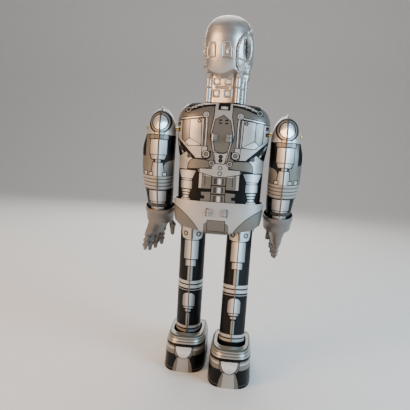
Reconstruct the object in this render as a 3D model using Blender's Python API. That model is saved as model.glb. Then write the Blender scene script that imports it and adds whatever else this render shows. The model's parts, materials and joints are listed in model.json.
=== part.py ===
"""Clockwork walking robot in printed tinplate, modelled piece by piece.

The robot faces -Y and stands on z = 0, so its own left side is +X. Sizes below are in millimetres
and turn into metres through MM. Legs, feet, arms, hands and head hang from empties on their joints.
"""

from math import asin, cos, pi, radians, sin, sqrt, tan

import bmesh
import bpy
from mathutils import Matrix, Vector

MM = 0.001

# Sheet metal and clearances
TIN = 0.6
GAP = 0.3
FIN_PROUD = 1.3
FIN_THICK = 0.6
PLASTIC = 1.4

# Torso and pelvis sections: height, half width, depth in front of the axis, depth behind it
TORSO_SECTIONS = (
    (112.0, 27.6, 16.2, 16.2),
    (119.0, 28.0, 17.0, 17.0),
    (146.0, 28.7, 18.6, 17.8),
    (156.0, 30.2, 19.8, 18.4),
    (166.0, 31.2, 20.2, 18.6),
    (172.0, 31.0, 19.4, 18.0),
    (177.0, 29.4, 17.6, 16.6),
    (180.6, 26.6, 15.2, 14.4),
    (182.8, 23.4, 12.8, 12.2),
    (183.5, 20.6, 10.8, 10.4),
)
PELVIS_SECTIONS = (
    (96.5, 19.0, 11.0, 11.0),
    (97.3, 22.4, 12.6, 12.6),
    (99.4, 26.4, 14.4, 14.4),
    (103.0, 28.8, 16.0, 16.0),
    (108.0, 30.0, 17.4, 17.4),
    (114.0, 30.4, 18.0, 18.0),
    (119.0, 30.4, 18.2, 18.2),
)
SIDE_SEAM_Y = 0.0
NECK_TOP = 183.5

# Head, in its own frame before it is turned: height, half width, depth in front, depth behind
HEAD_SECTIONS = (
    (184.0, 13.4, 8.6, 9.0),
    (199.0, 13.4, 10.5, 9.0),
    (201.0, 13.8, 17.5, 10.5),
    (204.5, 14.4, 19.4, 14.8),
    (209.0, 15.2, 20.2, 18.0),
    (216.0, 15.7, 20.6, 19.4),
    (223.0, 15.7, 20.4, 19.6),
    (230.0, 14.8, 18.8, 18.4),
    (235.0, 12.5, 15.6, 15.4),
    (238.4, 8.6, 10.4, 10.4),
    (240.0, 3.0, 3.6, 3.6),
)
HEAD_TURN = radians(-17.0)
HEAD_SEAM_Y = -5.0
EYE_X = 6.4
EYE_Z = 221.0
EYE_RADIUS = 3.6
LENS_Y = -18.2
LENS_LENGTH = 3.4
NECK_HOLE_RADIUS = 4.0
NECK_BUSH_RADIUS = 3.6
NECK_RIVET_RADIUS = 2.0

# Arms: height, distance of the inner side from the middle, width across X, depth along Y
ARM_SECTIONS = (
    (105.8, 33.4, 16.0, 16.2),
    (110.0, 33.1, 16.6, 17.0),
    (118.0, 32.6, 18.2, 18.8),
    (128.0, 32.3, 20.6, 20.8),
    (140.0, 32.2, 22.0, 22.0),
    (150.0, 32.2, 22.0, 22.6),
    (160.0, 32.2, 20.0, 23.0),
    (167.0, 32.8, 18.0, 22.2),
    (172.0, 34.4, 15.0, 19.0),
    (175.6, 36.8, 10.2, 13.6),
    (177.6, 39.3, 5.2, 7.0),
)
ARM_SEAM_X = 41.9
ARM_BEND_START = 155.0
WRIST_X = 41.4
WRIST_Z = 110.0
WRIST_TILT = radians(18.0)
FIN_BOTTOM = 112.6
SHOULDER_Z = 165.0
SHOULDER_RIVET_RADIUS = 1.4
SHOULDER_RIVET_ENDS = (28.1, 52.5)
SHOULDER_WASHER = (29.3, 4.0, 0.6)

# Hands, measured along and across from the wrist
CUFF_LENGTH = 10.4
CUFF_TOP_RADIUS = 10.3
CUFF_PALM_RADIUS = 9.4
CUFF_WALL = 0.5
PALM_LOW = (-8.0, -3.4, -21.0)
PALM_HIGH = (8.0, 3.4, -7.4)
FINGER_PITCH = 4.0
FINGER_LENGTHS = (8.6, 10.6, 11.0, 9.0)
FINGER_RADII = (2.2, 1.5)
THUMB_RADII = (2.4, 1.7)
HAND_TURNS = {"left": radians(42.0), "right": radians(-78.0)}

# Legs
LEG_X = 16.0
LEG_RADIUS = 8.75
LEG_TOP = 107.6
LEG_SWING_REST = radians(5.5)
LEG_SWING_MOST = radians(8.5)
HIP_Z = 100.0
HIP_AXLE_RADIUS = 1.2
ANKLE_DROP = 86.0
ANKLE_AXLE_RADIUS = 1.0
LEG_FIN_TOP = 104.0
LEG_FIN_BOTTOM = 24.0
LEG_SLOT = (6.8, 25.9, 99.9)
LEVER_X = 8.7
LEVER_THICK = 0.8
LEVER_SLOT_HALF = 1.1

# Feet, measured from the ankle: the heel is behind it and the toe in front
HEEL = 24.5
TOE = 41.5
FOOT_HALF_WIDTH = 14.5
FOOT_HEIGHT = 24.0
TOE_HEIGHT = 16.0
FOOT_OPENING_X = 9.9
FOOT_OPENING_Y = 13.6
ROLLER_RADIUS = 3.8
ROLLER_Y = -22.0
ROLLER_CLEAR = 0.25
ROLLER_LENGTH = 11.0
ROLLER_BORE = 1.2
SOLE_THICK = 0.8
BRACKET_X = 10.0

# Clockwork between its two side plates
PLATE_X = 6.3
PLATE_THICK = 0.8
GEAR_MODULE = 0.5
SPRING_Z = 144.0
IDLER_Z = 129.5
CRANK_Z = 118.0
CRANK_THROW = (CRANK_Z - HIP_Z) * tan(LEG_SWING_MOST)
GREAT_TEETH = 48
IDLER_PINION_TEETH = 10
IDLER_WHEEL_TEETH = 32
CRANK_PINION_TEETH = 14
CRANK_WHEEL_TEETH = 36
GOVERNOR_TEETH = 8
GOVERNOR_ANGLE = radians(-35.0)
PLATE_OUTLINE = (
    (-8.0, 97.9),
    (8.0, 97.9),
    (13.6, 104.0),
    (13.6, 166.6),
    (4.0, 166.6),
    (-9.0, 160.0),
    (-13.6, 152.0),
    (-13.6, 104.0),
)
PILLARS = ((-10.8, 156.2), (11.8, 131.0), (-10.4, 106.0))
PALLET_AXIS = (9.0, 104.6)

# Lugs of the side plates: middle height, and how far back the wall is that they fold over
UPPER_TAB = (160.7, 18.5)
LOWER_TAB = (111.9, 17.8)
TAB_HEIGHT = 4.4
TAB_PROUD = 0.5
TAB_FOLD = 3.4

# The feet reach further in front than behind, so this shift centres the robot over its origin
CENTRE_Y = (TOE - HEEL) / 2

PARTS = "walking_robot"
CUTTERS = "walking_robot_cutters"


def clear_scene():
    for old in list(bpy.data.objects):
        bpy.data.objects.remove(old)
    for name in (PARTS, CUTTERS):
        bpy.context.scene.collection.children.link(bpy.data.collections.new(name))


def make_material(name, colour, roughness, metallic):
    material = bpy.data.materials.new(name)
    material.use_nodes = True
    shader = material.node_tree.nodes["Principled BSDF"]
    shader.inputs["Base Color"].default_value = (*colour, 1.0)
    shader.inputs["Roughness"].default_value = roughness
    shader.inputs["Metallic"].default_value = metallic
    return material


def add_empty(name, location, parent=None, rotation=(0.0, 0.0, 0.0)):
    empty = bpy.data.objects.new(name, None)
    empty.empty_display_size = 5 * MM
    empty.location = Vector(location) * MM
    empty.rotation_euler = rotation
    empty.parent = parent
    bpy.data.collections[PARTS].objects.link(empty)
    return empty


def finish_mesh(name, bm, parent=None, finish=None):
    """Turn a bmesh in millimetres into an object of the parts, or of the cutters without a finish."""
    bmesh.ops.recalc_face_normals(bm, faces=bm.faces)
    bmesh.ops.scale(bm, vec=(MM, MM, MM), verts=bm.verts)
    mesh = bpy.data.meshes.new(name)
    bm.to_mesh(mesh)
    bm.free()
    mesh.shade_smooth()
    mesh.set_sharp_from_angle(angle=radians(35.0))
    made = bpy.data.objects.new(name, mesh)
    made.parent = parent
    if finish is None:
        made.hide_render = True
        made.display_type = "WIRE"
        bpy.data.collections[CUTTERS].objects.link(made)
    else:
        mesh.materials.append(finish)
        bpy.data.collections[PARTS].objects.link(made)
    return made


def combine(target, other, operation):
    modifier = target.modifiers.new(operation.title(), "BOOLEAN")
    modifier.operation = operation
    modifier.object = other
    return target


def block(low, high):
    """A box between two corners."""
    bm = bmesh.new()
    bmesh.ops.create_cube(bm, size=1.0)
    size = [b - a for a, b in zip(low, high)]
    middle = [(a + b) / 2 for a, b in zip(low, high)]
    bmesh.ops.scale(bm, vec=size, verts=bm.verts)
    bmesh.ops.translate(bm, vec=middle, verts=bm.verts)
    return bm


def rod(axis, centre, length, radius, sides=12, end_radius=None):
    """A cylinder or cone along "X", "Y" or "Z", centred at a point."""
    bm = bmesh.new()
    bmesh.ops.create_cone(
        bm,
        cap_ends=True,
        segments=sides,
        radius1=radius,
        radius2=radius if end_radius is None else end_radius,
        depth=length,
    )
    turn = {"X": Matrix.Rotation(pi / 2, 3, "Y"), "Y": Matrix.Rotation(-pi / 2, 3, "X")}
    if axis in turn:
        bmesh.ops.rotate(bm, matrix=turn[axis], verts=bm.verts)
    bmesh.ops.translate(bm, vec=centre, verts=bm.verts)
    return bm


def loft(rings, hollow=False):
    """A closed skin through rings of equally many points. A hollow one joins its last to its first."""
    bm = bmesh.new()
    rows = [[bm.verts.new(point) for point in ring] for ring in rings]
    count = len(rows[0])
    for lower, upper in zip(rows, rows[1:]):
        for i in range(count):
            j = (i + 1) % count
            bm.faces.new((lower[i], lower[j], upper[j], upper[i]))
    if hollow:
        for i in range(count):
            j = (i + 1) % count
            bm.faces.new((rows[-1][i], rows[-1][j], rows[0][j], rows[0][i]))
    else:
        bm.faces.new(list(reversed(rows[0])))
        bm.faces.new(rows[-1])
    return bm


def prism(outline, low_x, high_x):
    """A flat outline of (y, z) points made solid between two x values."""
    return loft([[(x, y, z) for y, z in outline] for x in (low_x, high_x)])


def oval(centre_x, z, half_width, front, back, power=2.5, count=24):
    """One level ring, rounder or squarer by its power, with its own depth in front and behind."""
    ring = []
    for i in range(count):
        angle = 2 * pi * (i + 0.5) / count
        across, along = cos(angle), sin(angle)
        depth = back if along > 0 else front
        x = half_width * abs(across) ** (2 / power) * (1 if across > 0 else -1)
        y = depth * abs(along) ** (2 / power) * (1 if along > 0 else -1)
        ring.append((centre_x + x, y, z))
    return ring


def body_loft(sections, inset=0.0, power=2.5, count=24):
    return loft(
        [oval(0.0, z, w - inset, f - inset, b - inset, power, count) for z, w, f, b in sections]
    )


def lower_ends(sections, bottom, top):
    """Sections whose first and last heights are replaced, so an inner form runs out of a shell."""
    changed = [list(row) for row in sections]
    changed[0][0] = bottom
    changed[-1][0] = top
    return changed


def gear(teeth, low_x, high_x, centre, phase, bore=0.0):
    """A spur gear about X. The phase is the angle of one tooth's middle, from +Y towards +Z."""
    radius = GEAR_MODULE * teeth / 2
    tip = radius + 0.7 * GEAR_MODULE
    root = radius - 1.1 * GEAR_MODULE
    pitch = 2 * pi / teeth
    outline = []
    for tooth in range(teeth):
        middle = phase + tooth * pitch
        for share, r in ((-0.3, root), (-0.12, tip), (0.12, tip), (0.3, root)):
            angle = middle + share * pitch
            outline.append((centre[0] + r * cos(angle), centre[1] + r * sin(angle)))
    bm = prism(outline, low_x, high_x)
    if bore:
        return bm, rod("X", ((low_x + high_x) / 2, *centre), high_x - low_x + 2, bore)
    return bm, None


def drill(target, axis, centre, length, radius, parent=None, sides=10):
    hole = finish_mesh(f"{target.name}_hole", rod(axis, centre, length, radius, sides), parent)
    return combine(target, hole, "DIFFERENCE")


def cut_block(target, low, high, parent=None):
    return combine(target, finish_mesh(f"{target.name}_cut", block(low, high), parent), "DIFFERENCE")


def keep_block(target, low, high, parent=None):
    return combine(target, finish_mesh(f"{target.name}_keep", block(low, high), parent), "INTERSECT")


def add_form(target, bm, parent=None):
    return combine(target, finish_mesh(f"{target.name}_add", bm, parent), "UNION")


def tab_slots(shell, tab, rise, root):
    """Two slots through a back wall for the clockwork's bent tabs, taller by a rise at each end."""
    reach = PLATE_THICK / 2 + GAP
    half_height = TAB_HEIGHT / 2 + GAP + rise
    for side in (-1, 1):
        low = (side * PLATE_X - reach, 6.0, tab[0] - half_height)
        high = (side * PLATE_X + reach, 30.0, tab[0] + half_height)
        cut_block(shell, low, high, root)


def make_torso(root, tin):
    """Front and back pressings of the chest, open at the waist and pierced for neck and arms."""
    for name, low_y, high_y in (("torso_front", -60, -GAP / 2), ("torso_back", GAP / 2, 60)):
        shell = finish_mesh(name, body_loft(TORSO_SECTIONS), root, tin)
        inner = lower_ends(TORSO_SECTIONS, 105.0, NECK_TOP - TIN)
        combine(shell, finish_mesh(f"{name}_inner", body_loft(inner, TIN), root), "DIFFERENCE")
        keep_block(shell, (-60, low_y, 100), (60, high_y, 200), root)
        drill(shell, "Z", (0, SIDE_SEAM_Y, NECK_TOP), 6, NECK_HOLE_RADIUS, root, 28)
        drill(shell, "X", (0, SIDE_SEAM_Y, SHOULDER_Z), 80, SHOULDER_RIVET_RADIUS + GAP, root)
        drill(shell, "X", (30, SIDE_SEAM_Y, SPRING_Z), 12, 3.4, root, 24)
        if name == "torso_back":
            tab_slots(shell, UPPER_TAB, 0.0, root)
            tab_slots(shell, LOWER_TAB, 0.4, root)


def make_pelvis(root, tin):
    """Front and back pressings of the hips, with a leg slot each side of the crotch strip."""
    for name, low_y, high_y in (("pelvis_front", -60, -GAP / 2), ("pelvis_back", GAP / 2, 60)):
        shell = finish_mesh(name, body_loft(PELVIS_SECTIONS), root, tin)
        inner = lower_ends(PELVIS_SECTIONS, 96.5 + TIN, 125.0)
        combine(shell, finish_mesh(f"{name}_inner", body_loft(inner, TIN), root), "DIFFERENCE")
        keep_block(shell, (-60, low_y, 90), (60, high_y, 130), root)
        for side in (-1, 1):
            near, far = sorted((side * LEG_SLOT[0], side * LEG_SLOT[1]))
            cut_block(shell, (near, -30, 90), (far, 30, LEG_SLOT[2]), root)
        if name == "pelvis_back":
            tab_slots(shell, LOWER_TAB, 0.0, root)


def make_neck(root, brass):
    """A flanged bush in the torso top, with the rivet that the head turns on."""
    bush = finish_mesh("neck_bush", rod("Z", (0, 0, NECK_TOP - 1.4), 3.2, NECK_BUSH_RADIUS, 28), root,
                       brass)
    add_form(bush, rod("Z", (0, 0, NECK_TOP - 2.1), 1.8, NECK_BUSH_RADIUS + 2.0, 28), root)
    drill(bush, "Z", (0, 0, NECK_TOP - 1.5), 10, NECK_RIVET_RADIUS + GAP, root)


def make_head(root, paint, glass, steel):
    """A moulded head in a back half and a face half, on a tubular rivet."""
    neck = add_empty("head_turn", (0, 0, NECK_TOP), root, (0, 0, HEAD_TURN))
    drop = (0, 0, -NECK_TOP)
    inner = lower_ends(HEAD_SECTIONS, 184.0 + 1.6, 240.0 - PLASTIC)
    for name, low_y, high_y in (
        ("head_face", -60, HEAD_SEAM_Y - GAP / 2),
        ("head_back", HEAD_SEAM_Y + GAP / 2, 60),
    ):
        outer_form = body_loft(HEAD_SECTIONS, 0.0, 2.2, 20)
        inner_form = body_loft(inner[:-1] + [[238.2, 6.0, 7.6, 7.6]], PLASTIC, 2.2, 20)
        for form in (outer_form, inner_form):
            bmesh.ops.translate(form, vec=drop, verts=form.verts)
        shell = finish_mesh(name, outer_form, neck, paint)
        combine(shell, finish_mesh(f"{name}_inner", inner_form, neck), "DIFFERENCE")
        keep_block(shell, (-60, low_y, -2), (60, high_y, 70), neck)
        drill(shell, "Z", (0, 0, 1), 6, NECK_RIVET_RADIUS + GAP, neck)
        if name == "head_face":
            for side in (-1, 1):
                socket = (side * EYE_X, LENS_Y, EYE_Z - NECK_TOP)
                drill(shell, "Y", socket, 12, EYE_RADIUS, neck, 24)
    for side, label in ((1, "left"), (-1, "right")):
        place = (side * EYE_X, LENS_Y, EYE_Z - NECK_TOP)
        lens = rod("Y", place, LENS_LENGTH, EYE_RADIUS - GAP - 0.8, 24, EYE_RADIUS - GAP)
        finish_mesh(f"{label}_eye_lens", lens, neck, glass)
    rivet = finish_mesh("neck_rivet", rod("Z", (0, 0, -0.1), 7.6, NECK_RIVET_RADIUS), neck, steel)
    add_form(rivet, rod("Z", (0, 0, 3.4), 1.0, 4.2), neck)
    add_form(rivet, rod("Z", (0, 0, -3.9), 0.8, 4.4), neck)


def arm_centre_y(z):
    """The arm's centreline leans forward below the elbow, up to the wrist's tilt."""
    below = max(0.0, ARM_BEND_START - z)
    bend = tan(WRIST_TILT) / (2 * (ARM_BEND_START - WRIST_Z))
    return -bend * below * below


def arm_slope(z):
    below = max(0.0, ARM_BEND_START - z)
    return tan(WRIST_TILT) * below / (ARM_BEND_START - WRIST_Z)


def arm_ring(side, section, inset, power, count, flat=None):
    """One arm section, square to the leaning centreline; flat gives a fin's section instead."""
    z, inner_x, width, depth = section
    tilt = arm_slope(z) / sqrt(1 + arm_slope(z) ** 2)
    rise = sqrt(1 - tilt * tilt)
    if flat is None:
        level = oval(inner_x + width / 2, 0.0, width / 2 - inset, depth / 2 - inset,
                     depth / 2 - inset, power, count)
    else:
        reach = depth / 2 + flat
        level = [(ARM_SEAM_X + a * FIN_THICK, b * reach, 0.0)
                 for a, b in ((-1, -1), (1, -1), (1, 1), (-1, 1))]
    return [(side * x, arm_centre_y(z) + y * rise, z - SHOULDER_Z - y * tilt) for x, y, _ in level]


def make_arm(side, label, root, finishes):
    """Inner and outer pressings that meet at a raised seam, hung on a brass rivet."""
    tin, brass, spring_steel = finishes
    pivot = add_empty(f"{label}_shoulder", (0, 0, SHOULDER_Z), root)
    fin_sections = [row for row in ARM_SECTIONS if row[0] > FIN_BOTTOM]
    fin_sections = [(FIN_BOTTOM, 33.0, 17.1, 17.6)] + fin_sections
    top = ARM_SECTIONS[-1]
    fin_sections.append((top[0] + FIN_PROUD, *top[1:]))
    inner = lower_ends(ARM_SECTIONS, 104.0, top[0] - TIN)
    for part, low_x, high_x in (
        ("inner", 20.0, ARM_SEAM_X - GAP / 2),
        ("outer", ARM_SEAM_X + GAP / 2, 70.0),
    ):
        name = f"{label}_arm_{part}"
        tube = loft([arm_ring(side, row, 0.0, 2.2, 16) for row in ARM_SECTIONS])
        shell = finish_mesh(name, tube, pivot, tin)
        add_form(shell, loft([arm_ring(side, row, 0, 2, 4, FIN_PROUD) for row in fin_sections]),
                 pivot)
        hollow = loft([arm_ring(side, row, TIN, 2.2, 16) for row in inner])
        combine(shell, finish_mesh(f"{name}_inner", hollow, pivot), "DIFFERENCE")
        near, far = sorted((side * low_x, side * high_x))
        keep_block(shell, (near, -60, -80), (far, 60, 40), pivot)
        drill(shell, "X", (side * 42, 0, 0), 40, SHOULDER_RIVET_RADIUS + GAP, pivot)
    near, far = SHOULDER_RIVET_ENDS
    shank = rod("X", (side * (near + far) / 2, 0, 0), far - near, SHOULDER_RIVET_RADIUS)
    rivet = finish_mesh(f"{label}_shoulder_rivet", shank, pivot, brass)
    add_form(rivet, rod("X", (side * (near + 0.1), 0, 0), 0.9, 2 * SHOULDER_RIVET_RADIUS), pivot)
    add_form(rivet, rod("X", (side * (far - 0.1), 0, 0), 0.8, 2.3), pivot)
    washer_x, radius, thick = SHOULDER_WASHER
    centre = (side * washer_x, 0, SHOULDER_Z)
    ring = rod("X", centre, thick, radius, 24)
    washer = finish_mesh(f"{label}_shoulder_washer", ring, root, spring_steel)
    drill(washer, "X", centre, 4, SHOULDER_RIVET_RADIUS + GAP, root)
    return pivot


def capsule(start, end, start_radius, end_radius, sides=6):
    """A tapered round finger between two points, with a blunt tip."""
    start, end = Vector(start), Vector(end)
    line = end - start
    turn = Vector((0, 0, 1)).rotation_difference(line).to_matrix()
    rings = []
    for share, radius in ((0.0, start_radius), (0.86, end_radius), (1.0, end_radius * 0.5)):
        centre = start + line * share
        ring = []
        for i in range(sides):
            angle = 2 * pi * i / sides
            ring.append(centre + turn @ Vector((radius * cos(angle), radius * sin(angle), 0)))
        rings.append(ring)
    return loft(rings)


def make_hand(side, label, pivot, plastic):
    """A moulded hand whose cuff turns round the end of the arm.

    Its own -Z runs to the fingertips and its palm faces +Y, with the thumb on the body's side.
    """
    centre = (side * WRIST_X, arm_centre_y(WRIST_Z), WRIST_Z - SHOULDER_Z)
    wrist = add_empty(f"{label}_wrist", centre, pivot, (-WRIST_TILT, 0, 0))
    swivel = add_empty(f"{label}_hand_turn", (0, 0, 0), wrist, (0, 0, HAND_TURNS[label]))
    name = f"{label}_hand"
    middle = (0, 0, -3.4)
    cuff = rod("Z", middle, CUFF_LENGTH, CUFF_PALM_RADIUS, 24, CUFF_TOP_RADIUS)
    hand = finish_mesh(name, cuff, swivel, plastic)
    bore = rod("Z", (0, 0, -1.2), 10.0, CUFF_PALM_RADIUS - CUFF_WALL + 0.1, 24,
               CUFF_TOP_RADIUS - CUFF_WALL)
    combine(hand, finish_mesh(f"{name}_inner", bore, swivel), "DIFFERENCE")
    add_form(hand, rod("Z", middle, 8.0, 5.2, 20), swivel)
    palm = block(PALM_LOW, PALM_HIGH)
    bmesh.ops.bevel(palm, geom=palm.edges, offset=1.6, segments=2, affect="EDGES")
    add_form(hand, palm, swivel)
    for finger, length in enumerate(FINGER_LENGTHS):
        place = finger - 1.5
        root = (place * FINGER_PITCH, 0, PALM_LOW[2] + 3.0)
        tip = (place * (FINGER_PITCH + 0.7), 2.4, PALM_LOW[2] + 1.0 - length)
        add_form(hand, capsule(root, tip, *FINGER_RADII), swivel)
    thumb = capsule((side * -5.04, 0, -12.0), (side * -9.36, 2.5, -21.5), *THUMB_RADII)
    add_form(hand, thumb, swivel)


def leg_ring(centre_x, z, radius, count=18):
    return [(centre_x + radius * cos(2 * pi * (i + 0.5) / count),
             radius * sin(2 * pi * (i + 0.5) / count), z - HIP_Z) for i in range(count)]


def make_leg(side, label, root, tin, steel):
    """A tin tube in two halves with raised seams, its drive lever and the ankle axle."""
    angle = -side * LEG_SWING_REST
    hip = add_empty(f"{label}_hip", (0, 0, HIP_Z), root, (angle, 0, 0))
    x = side * LEG_X
    bottom = HIP_Z - ANKLE_DROP - 5.6
    reach = LEG_RADIUS + FIN_PROUD
    for part, low, high in (
        ("inner", LEG_X - 20, LEG_X - GAP / 2),
        ("outer", LEG_X + GAP / 2, LEG_X + 20),
    ):
        near, far = sorted((side * low, side * high))
        name = f"{label}_leg_{part}"
        tube = loft([leg_ring(x, z, LEG_RADIUS) for z in (bottom, LEG_TOP)])
        shell = finish_mesh(name, tube, hip, tin)
        fin = block((x - FIN_THICK, -reach, LEG_FIN_BOTTOM - HIP_Z),
                    (x + FIN_THICK, reach, LEG_FIN_TOP - HIP_Z))
        add_form(shell, fin, hip)
        hollow = loft([leg_ring(x, z, LEG_RADIUS - TIN) for z in (bottom - 4, LEG_TOP + 4)])
        combine(shell, finish_mesh(f"{name}_inner", hollow, hip), "DIFFERENCE")
        keep_block(shell, (near, -40, -120), (far, 40, 40), hip)
        drill(shell, "X", (x, 0, 0), 30, HIP_AXLE_RADIUS + GAP, hip)
        drill(shell, "X", (x, 0, -ANKLE_DROP), 30, ANKLE_AXLE_RADIUS + GAP, hip)
    lever_x = side * LEVER_X
    low, high = lever_x - LEVER_THICK / 2, lever_x + LEVER_THICK / 2
    outline = [(-2.2, -12), (2.2, -12), (2.2, 8), (3.4, 10), (3.4, 22.5), (2.4, 24.5),
               (-2.4, 24.5), (-3.4, 22.5), (-3.4, 10), (-2.2, 8)]
    lever = finish_mesh(f"{label}_leg_lever", prism(outline, low, high), hip, steel)
    drill(lever, "X", (lever_x, 0, 0), 4, HIP_AXLE_RADIUS + GAP, hip)
    slot_low = CRANK_Z - HIP_Z - CRANK_THROW - LEVER_SLOT_HALF
    slot_high = CRANK_Z - HIP_Z + CRANK_THROW + LEVER_SLOT_HALF
    cut_block(lever, (lever_x - 2, -LEVER_SLOT_HALF, slot_low),
              (lever_x + 2, LEVER_SLOT_HALF, slot_high), hip)
    axle = rod("X", (x, 0, -ANKLE_DROP), 22.6, ANKLE_AXLE_RADIUS)
    finish_mesh(f"{label}_ankle_axle", axle, hip, steel)
    ankle_y = ANKLE_DROP * sin(angle)
    ankle_z = HIP_Z - ANKLE_DROP * cos(angle)
    return add_empty(f"{label}_ankle", (x, ankle_y, ankle_z), root)


def foot_ring(level, inset):
    """A foot section. It is level at the sole, and follows the sloping instep further up."""
    share, half_width, heel, toe = level
    ring = []
    for x, y, _ in oval(0.0, 0.0, half_width - inset, toe - inset, heel - inset, 3.2, 22):
        slope = min(1.0, max(0.0, (-y - 12.0) / (TOE - 12.0)))
        height = FOOT_HEIGHT - (FOOT_HEIGHT - TOE_HEIGHT) * slope * slope * (3 - 2 * slope)
        ring.append((x, y, share * height))
    return ring


FOOT_LEVELS = (
    (0.0, FOOT_HALF_WIDTH, HEEL, TOE),
    (0.08, 14.3, 24.2, 41.1),
    (0.5, 14.1, 23.6, 40.0),
    (0.78, 13.7, 22.6, 38.0),
    (0.93, 12.6, 20.6, 35.4),
    (1.0, 11.4, 18.4, 32.6),
    (1.0, FOOT_OPENING_X, FOOT_OPENING_Y, FOOT_OPENING_Y),
)


def make_foot(label, ankle, finishes):
    """A pressed foot with a long opening for the leg, its sole, ankle bracket and roller."""
    tin, steel, rubber = finishes
    floor = -(HIP_Z - ANKLE_DROP * cos(LEG_SWING_REST))
    base = add_empty(f"{label}_sole", (0, 0, floor), ankle)
    name = f"{label}_foot_shell"
    outside = [foot_ring(row, 0.0) for row in FOOT_LEVELS]
    opening = FOOT_LEVELS[-1]
    inside = [foot_ring((opening[0] - 0.035, *opening[1:]), 0.0)]
    for share, *extents in reversed(FOOT_LEVELS[:-1]):
        inside.append(foot_ring((share - 0.035 * (share > 0), *extents), TIN))
    finish_mesh(name, loft(outside + inside, hollow=True), base, tin)
    rim = foot_ring(FOOT_LEVELS[0], TIN + GAP + 0.2)
    plate = loft([[(x, y, z) for x, y, _ in rim] for z in (0.0, SOLE_THICK)])
    sole = finish_mesh(f"{label}_sole_plate", plate, base, steel)
    cut_block(sole, (-6.0, ROLLER_Y - 4.6, -2), (6.0, ROLLER_Y + 4.6, 3), base)
    axle_z = ROLLER_RADIUS + ROLLER_CLEAR
    for ear in (-1, 1):
        low = (ear * 7.3 - 0.4, ROLLER_Y - 2.4, SOLE_THICK / 2)
        high = (ear * 7.3 + 0.4, ROLLER_Y + 2.4, axle_z + 2.4)
        add_form(sole, block(low, high), base)
    centre = (0, ROLLER_Y, axle_z)
    drill(sole, "X", centre, 30, ROLLER_BORE, base)
    finish_mesh(f"{label}_roller_axle", rod("X", centre, 17.4, ROLLER_BORE - GAP), base, steel)
    tyre = rod("X", centre, ROLLER_LENGTH, ROLLER_RADIUS, 24)
    roller = finish_mesh(f"{label}_roller", tyre, base, rubber)
    drill(roller, "X", centre, 20, ROLLER_BORE, base)
    reach = BRACKET_X + 0.4
    strap = block((-reach, -6.0, SOLE_THICK + GAP), (reach, 6.0, SOLE_THICK + 1.0))
    bracket = finish_mesh(f"{label}_ankle_bracket", strap, base, steel)
    for ear in (-1, 1):
        low = (ear * BRACKET_X - 0.4, -4.0, 1.3)
        add_form(bracket, block(low, (ear * BRACKET_X + 0.4, 4.0, 18.4)), base)
    drill(bracket, "X", (0, 0, -floor), 30, ANKLE_AXLE_RADIUS + GAP, base)


def add_tab(plate, side, tab, root):
    """A lug of a clockwork plate that passes through the back and folds inwards over it."""
    z, wall_y = tab
    x = side * PLATE_X
    bottom, top = z - TAB_HEIGHT / 2, z + TAB_HEIGHT / 2
    fold_y = wall_y + TAB_PROUD
    stem_low = (x - PLATE_THICK / 2, 12.0, bottom)
    add_form(plate, block(stem_low, (x + PLATE_THICK / 2, fold_y + PLATE_THICK, top)), root)
    near, far = sorted((x + side * PLATE_THICK / 2, x - side * TAB_FOLD))
    add_form(plate, block((near, fold_y, bottom), (far, fold_y + PLATE_THICK, top)), root)


def make_clockwork(root, steel, brass, spring_steel):
    """Side plates, pillars, mainspring, gear train, crank and escapement."""
    crank_pin = asin(tan(LEG_SWING_REST) / tan(LEG_SWING_MOST))
    governor_distance = GEAR_MODULE * (CRANK_WHEEL_TEETH + GOVERNOR_TEETH) / 2
    governor = (governor_distance * cos(GOVERNOR_ANGLE),
                CRANK_Z + governor_distance * sin(GOVERNOR_ANGLE))
    shafts = {"spring": (0.0, SPRING_Z), "idler": (0.0, IDLER_Z), "crank": (0.0, CRANK_Z),
              "governor": governor}
    for side, label in ((1, "left"), (-1, "right")):
        x = side * PLATE_X
        low, high = x - PLATE_THICK / 2, x + PLATE_THICK / 2
        plate = finish_mesh(f"{label}_motor_plate", prism(PLATE_OUTLINE, low, high), root, steel)
        add_tab(plate, side, UPPER_TAB, root)
        add_tab(plate, side, LOWER_TAB, root)
        for centre, radius in ((shafts["spring"], 1.8), (shafts["idler"], 1.2),
                               (shafts["crank"], 1.4), (governor, 1.1),
                               ((0.0, HIP_Z), HIP_AXLE_RADIUS + GAP), (PALLET_AXIS, 1.1)):
            drill(plate, "X", (x, *centre), 4, radius, root)
        for centre in PILLARS:
            drill(plate, "X", (x, *centre), 4, 1.3, root)
    for number, centre in enumerate(PILLARS, 1):
        pillar = finish_mesh(f"motor_pillar_{number}", rod("X", (0, *centre), 14.4, 1.0), root, steel)
        add_form(pillar, rod("X", (0, *centre), 10.6, 1.6), root)
    make_train(root, shafts, crank_pin, steel, brass, spring_steel)
    hip = finish_mesh("hip_axle", rod("X", (0, 0, HIP_Z), 50.6, HIP_AXLE_RADIUS), root, steel)
    for side in (-1, 1):
        add_form(hip, rod("X", (side * 25.4, 0, HIP_Z), 0.6, 1.8), root)


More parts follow.
